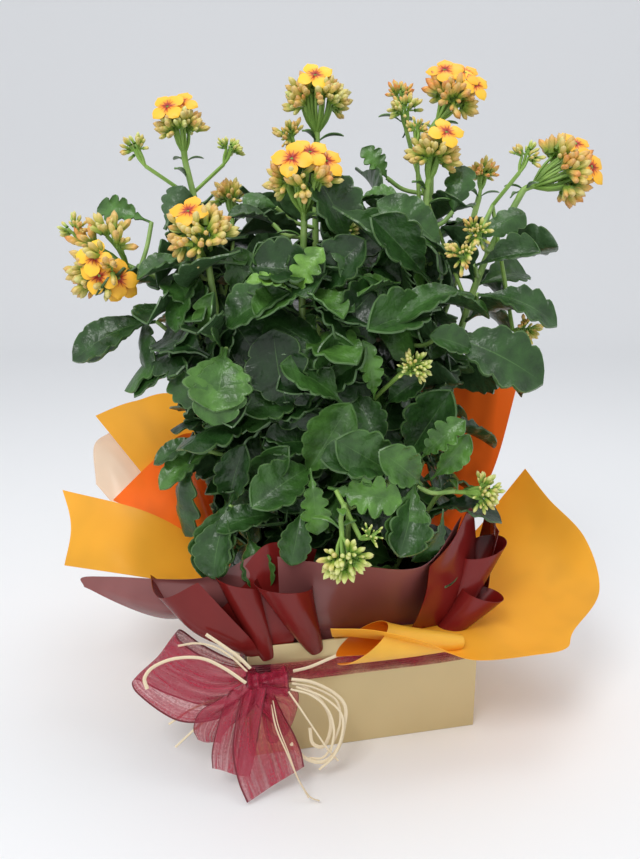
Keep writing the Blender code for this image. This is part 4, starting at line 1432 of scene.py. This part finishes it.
# %% Crown leaves
FACINGS = {
    "c": (-0.2, -0.85, 0.5),
    "u": (-0.1, -0.45, 0.9),
    "l": (-0.8, -0.5, 0.4),
    "r": (0.7, -0.5, 0.5),
    "d": (0.1, 0.5, -0.3),
}
CROWN_LEAVES = [
    ((-118, 15, 167), (-151, -7, 154), 18, "c", 0.30, 1),
    ((-116, 14, 167), (-130, -13, 150), 16, "l", 0.3, 3),
    ((-103, 12, 172), (-112, -12, 149), 17, "l", 0.30, 3),
    ((-91, -6, 142), (-127, -19, 137), 18, "u", 0.3, 1),
    ((-77, -47, 151), (-83, -66, 126), 34, "c", 0.55, 0),
    ((-97, -5, 138), (-87, -28, 114), 20, "c", 0.2, 0),
    ((-76, -35, 153), (-82, -46, 183), 17, "l", 0.55, 2),
    ((-57, -29, 170), (-67, -39, 204), 20, "c", 0.35, 1),
    ((-34, -48, 182), (-60, -66, 176), 22, "u", 0.50, 0),
    ((-34, -47, 182), (-16, -72, 176), 22, "u", 0.5, 0),
    ((-30, -34, 128), (-66, -52, 124), 27, "c", 0.35, 0),
    ((-10, -38, 145), (-38, -56, 145), 18, "c", 0.3, 2),
    ((-87, -26, 96), (-116, -33, 96), 15, "u", 0.35, 1),
    ((-86, -26, 90), (-114, -41, 84), 17, "u", 0.5, 1),
    ((-75, -45, 66), (-91, -66, 30), 26, "c", 0.40, 0),
    ((-81, -22, 94), (-78, -42, 116), 15, "c", 0.4, 0),
    ((-75, -35, 62), (-70, -53, 98), 20, "c", 0.25, 0),
    ((-60, -36, 68), (-48, -62, 98), 20, "c", 0.3, 0),
    ((-30, -52, 86), (-64, -74, 76), 26, "c", 0.35, 0),
    ((-50, -52, 58), (-80, -66, 66), 18, "u", 0.3, 1),
    ((-32, -54, 84), (-14, -72, 123), 26, "c", 0.40, 0),
    ((44, -50, 206), (14, -60, 233), 24, "c", 0.35, 1),
    ((34, -52, 193), (2, -62, 222), 22, "c", 0.30, 2),
    ((-25, -41, 184), (-6, -63, 210), 24, "c", 0.25, 0),
    ((-30, -45, 176), (-10, -65, 178), 20, "u", 0.40, 0),
    ((-22, -46, 168), (-5, -69, 159), 15, "u", 0.45, 1),
    ((36, -62, 174), (-4, -80, 167), 24, "c", 0.40, 2),
    ((52, -66, 183), (13, -81, 182), 20, "u", 0.40, 1),
    ((17, -55, 188), (-6, -63, 183), 12, "u", 0.55, 2),
    ((70, -45, 213), (86, -58, 228), 16, "c", 0.45, 3),
    ((4, -20, 232), (22, -36, 238), 14, "u", 0.50, 0),
    ((58, -32, 228), (59, -39, 251), 17, "c", 0.40, 3),
    ((27, -55, 90), (44, -72, 130), 26, "c", 0.30, 2),
    ((28, -77, 96), (42, -91, 118), 14, "c", 0.60, 4),
    ((35, -78, 85), (48, -91, 108), 14, "c", 0.60, 0),
    ((12, -78, 86), (-20, -89, 109), 27, "c", 0.40, 0),
    ((23, -85, 84), (1, -96, 104), 21, "c", 0.45, 0),
    ((20, -86, 82), (8, -101, 52), 22, "c", 0.45, 0),
    ((-22, -82, 82), (6, -102, 80), 19, "c", 0.55, 4),
    ((-34, -75, 88), (-33, -88, 60), 14, "c", 0.55, 4),
    ((-5, -50, 128), (4, -71, 105), 20, "c", 0.20, 0),
    ((4, -41, 136), (-22, -53, 148), 20, "c", 0.25, 3),
    ((4, -61, 128), (-3, -74, 156), 12, "c", 0.50, 4),
    ((-103, 22, 222), (-92, 26, 244), 20, "d", 0.40, 2),
    ((-88, -11, 197), (-120, -22, 196), 19, "u", 0.40, 0),
    ((-85, -16, 191), (-107, -35, 172), 20, "l", 0.35, 1),
    ((-43, -37, 185), (-56, -45, 209), 17, "c", 0.30, 2),
    ((-41, -57, 184), (-62, -65, 194), 13, "u", 0.75, 4),
    ((-40, -54, 182), (-29, -66, 206), 14, "c", 0.70, 4),
    ((-43, -10, 221), (-68, -18, 228), 16, "u", 0.35, 0),
    ((-40, -2, 231), (-56, -5, 240), 11, "c", 0.35, 3),
    ((-6, -28, 213), (-21, -38, 232), 18, "c", 0.35, 2),
    ((29, 4, 250), (15, 2, 267), 13, "c", 0.50, 4),
    ((56, -72, 152), (32, -80, 163), 16, "c", 0.30, 0),
    ((-59, -28, 104), (-39, -49, 102), 19, "u", 0.25, 0),
    ((-33, -33, 111), (-18, -53, 129), 18, "c", 0.25, 0),
    ((-70, -25, 132), (-54, -45, 155), 18, "c", 0.25, 2),
    ((15, -53, 122), (29, -68, 139), 15, "c", 0.30, 0),
    ((-66, -57, 48), (-60, -73, 24), 18, "c", 0.40, 0),
    ((-39, -72, 66), (-47, -85, 43), 17, "c", 0.25, 0),
    ((38, -83, 63), (26, -97, 41), 16, "r", 0.35, 1),
]
crown = random.Random(11)
parts = []
for start, end, width, facing, tone, form in CROWN_LEAVES:
    shape = LEAF_SHAPES[form]
    lean = Vector([crown.uniform(-0.2, 0.2) for _ in range(3)])
    root = over_soil(start)
    tip = over_soil(end)
    root -= (tip - root) * 0.14
    lay = leaf_matrix(root, tip, Vector(FACINGS[facing]) + lean, width * MM, shape)
    parts.append((shape, lay, tone + crown.uniform(0.0, 0.16)))
crown_leaves = build("crown_leaves", parts)
put(crown_leaves, "leaf", [LEAF_LOOK], smooth=50)

# %% [markdown]
# Leaves that stand clear of the crown sit on short side shoots. Each shoot runs from the nearest
# stem, a little lower down, to where the leaf starts.

# %% Side shoots
shoots = []
starts = [over_soil(row[0]) for row in LEAVES.values()]
starts += [over_soil(row[0]) for row in CROWN_LEAVES if row[0][2] > 195]
for start in starts:
    spots = [between(STEM_LINES[name], k / 40) for name in STEMS for k in range(2, 40)]
    spots = [spot for spot in spots if spot.z < start.z - 6 * MM]
    spot = min(spots, key=lambda place: (place - start).length)
    middle = spot.lerp(start, 0.6) - Vector((0, 0, 3)) * MM
    line = [between([spot, middle, start], k / 10) for k in range(11)]
    shoots.append(tube_part(line, 1.3 * MM, 8))
put(build("side_shoots", shoots), "stem", [STEM_LOOK], smooth=60)
print(len(shoots), "side shoots")

# %% [markdown]
# The other leaves fill the crown. They grow in pairs up each stem, each pair turned across the
# one below, and face outwards and up, as leaves do that look for the light.

# %% Leaves on the stems
growth = random.Random(21)
axis = Vector((-12, 0, 0)) * MM
total = 0
for name in STEMS:
    line = [between(STEM_LINES[name], i / 60) for i in range(61)]
    length = line_length(line)
    parts = []
    pairs = int(length * 0.74 / (17 * MM))
    for pair in range(pairs):
        t = 0.04 + 0.72 * (pair + 0.5) / pairs
        root = line[int(t * 60)]
        turn = pair * math.pi / 2 + growth.uniform(-0.5, 0.5)
        away = Vector((root.x - axis.x, root.y - axis.y, 0))
        for k in range(2):
            angle = turn + k * math.pi + growth.uniform(-0.3, 0.3)
            lift = growth.uniform(-0.35, 0.65)
            heading = Vector((math.cos(angle), math.sin(angle), lift)).normalized()
            heading = (heading + away * 6).normalized()
            size = growth.uniform(34, 50) * MM
            tip = root + heading * size
            if tip.z < SOIL_TOP + 8 * MM or abs(tip.y) > 92 * MM:
                continue
            outward = Vector((tip.x - axis.x, tip.y - axis.y, 0)).normalized()
            tilt = outward * growth.uniform(0.3, 1.3) + Vector((0, 0, growth.uniform(0.4, 1.0)))
            form = LEAF_SHAPES[growth.choice([0, 0, 1, 1, 2, 3])]
            tone = min(0.6, max(0.05, growth.gauss(0.28, 0.15)))
            width = size * growth.uniform(0.48, 0.64)
            parts.append((form, leaf_matrix(root, tip, tilt, width, form), tone))
    if parts:
        total += len(parts)
        leaves = build("leaves_of_" + name, parts)
        put(leaves, "leaf", [LEAF_LOOK], smooth=50)
print(total, "leaves on the stems")

# %% [markdown]
# Behind the leaves in front, the crown is a thick shell of leaves on side shoots. Each leaf starts
# inside the crown and ends on its outline, which is a profile of reach against height, and faces
# outwards and up. Leaves that would hide a flower head are left out. Two unlike steps spread the
# heights and the turns; with one golden step for both, all leaves would fall on a single spiral.

# %% Shell of the crown
CROWN_AXIS = Vector((-18, 0, 0)) * MM
CROWN_LEVELS = [15, 40, 80, 120, 160, 190, 215, 232]
CROWN_REACHES = [52, 66, 78, 88, 98, 96, 78, 46]
shell = random.Random(5)
heads = [sum(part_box(name), Vector()) / 2 for name in HEADS]
SHELL_COUNT = 300
EVEN_LEVELS = 0.7548777
EVEN_TURNS = 0.5698403
skipped = 0
parts = []
for i in range(SHELL_COUNT):
    level = 15 + 217 * ((i * EVEN_LEVELS) % 1) ** 0.8
    angle = 2 * math.pi * ((i * EVEN_TURNS) % 1) + shell.uniform(-0.2, 0.2)
    reach = float(np.interp(level, CROWN_LEVELS, CROWN_REACHES)) * shell.uniform(0.84, 1.0)
    outward = Vector((math.cos(angle), math.sin(angle) * (0.72 if math.sin(angle) < 0 else 0.86), 0))
    tip = CROWN_AXIS + over_soil((0, 0, level)) + outward * reach * MM
    hides = [head for head in heads if (tip - head).length < 27 * MM
             or (tip.y < head.y and abs(tip.x - head.x) < 22 * MM and abs(tip.z - head.z) < 26 * MM)]
    if hides:
        skipped += 1
        continue
    young = shell.random() < 0.08
    size = shell.uniform(22, 28) if young else shell.uniform(36, 50)
    round_it = Vector((-outward.y, outward.x, 0)).normalized()
    heading = outward.normalized() * 0.4 + round_it * shell.uniform(-0.8, 0.8)
    heading = (heading + Vector((0, 0, shell.uniform(-0.7, 0.8)))).normalized()
    facing = outward.normalized() * shell.uniform(0.5, 1.3) + Vector((0, 0, shell.uniform(0.4, 1.0)))
    form = LEAF_SHAPES[4 if young else shell.choice([0, 0, 1, 2, 3])]
    tone = 0.62 if young else min(0.6, max(0.08, shell.gauss(0.22 + level / 1500, 0.14)))
    base = tip - heading * size * MM
    width = size * shell.uniform(0.54, 0.68) * MM
    parts.append((form, leaf_matrix(base, tip, facing, width, form), tone))
for k in range(2):
    put(build("crown_shell_" + str(k), parts[k::2]), "leaf", [LEAF_LOOK], smooth=50)
print(len(parts), "leaves in the shell,", skipped, "left out")
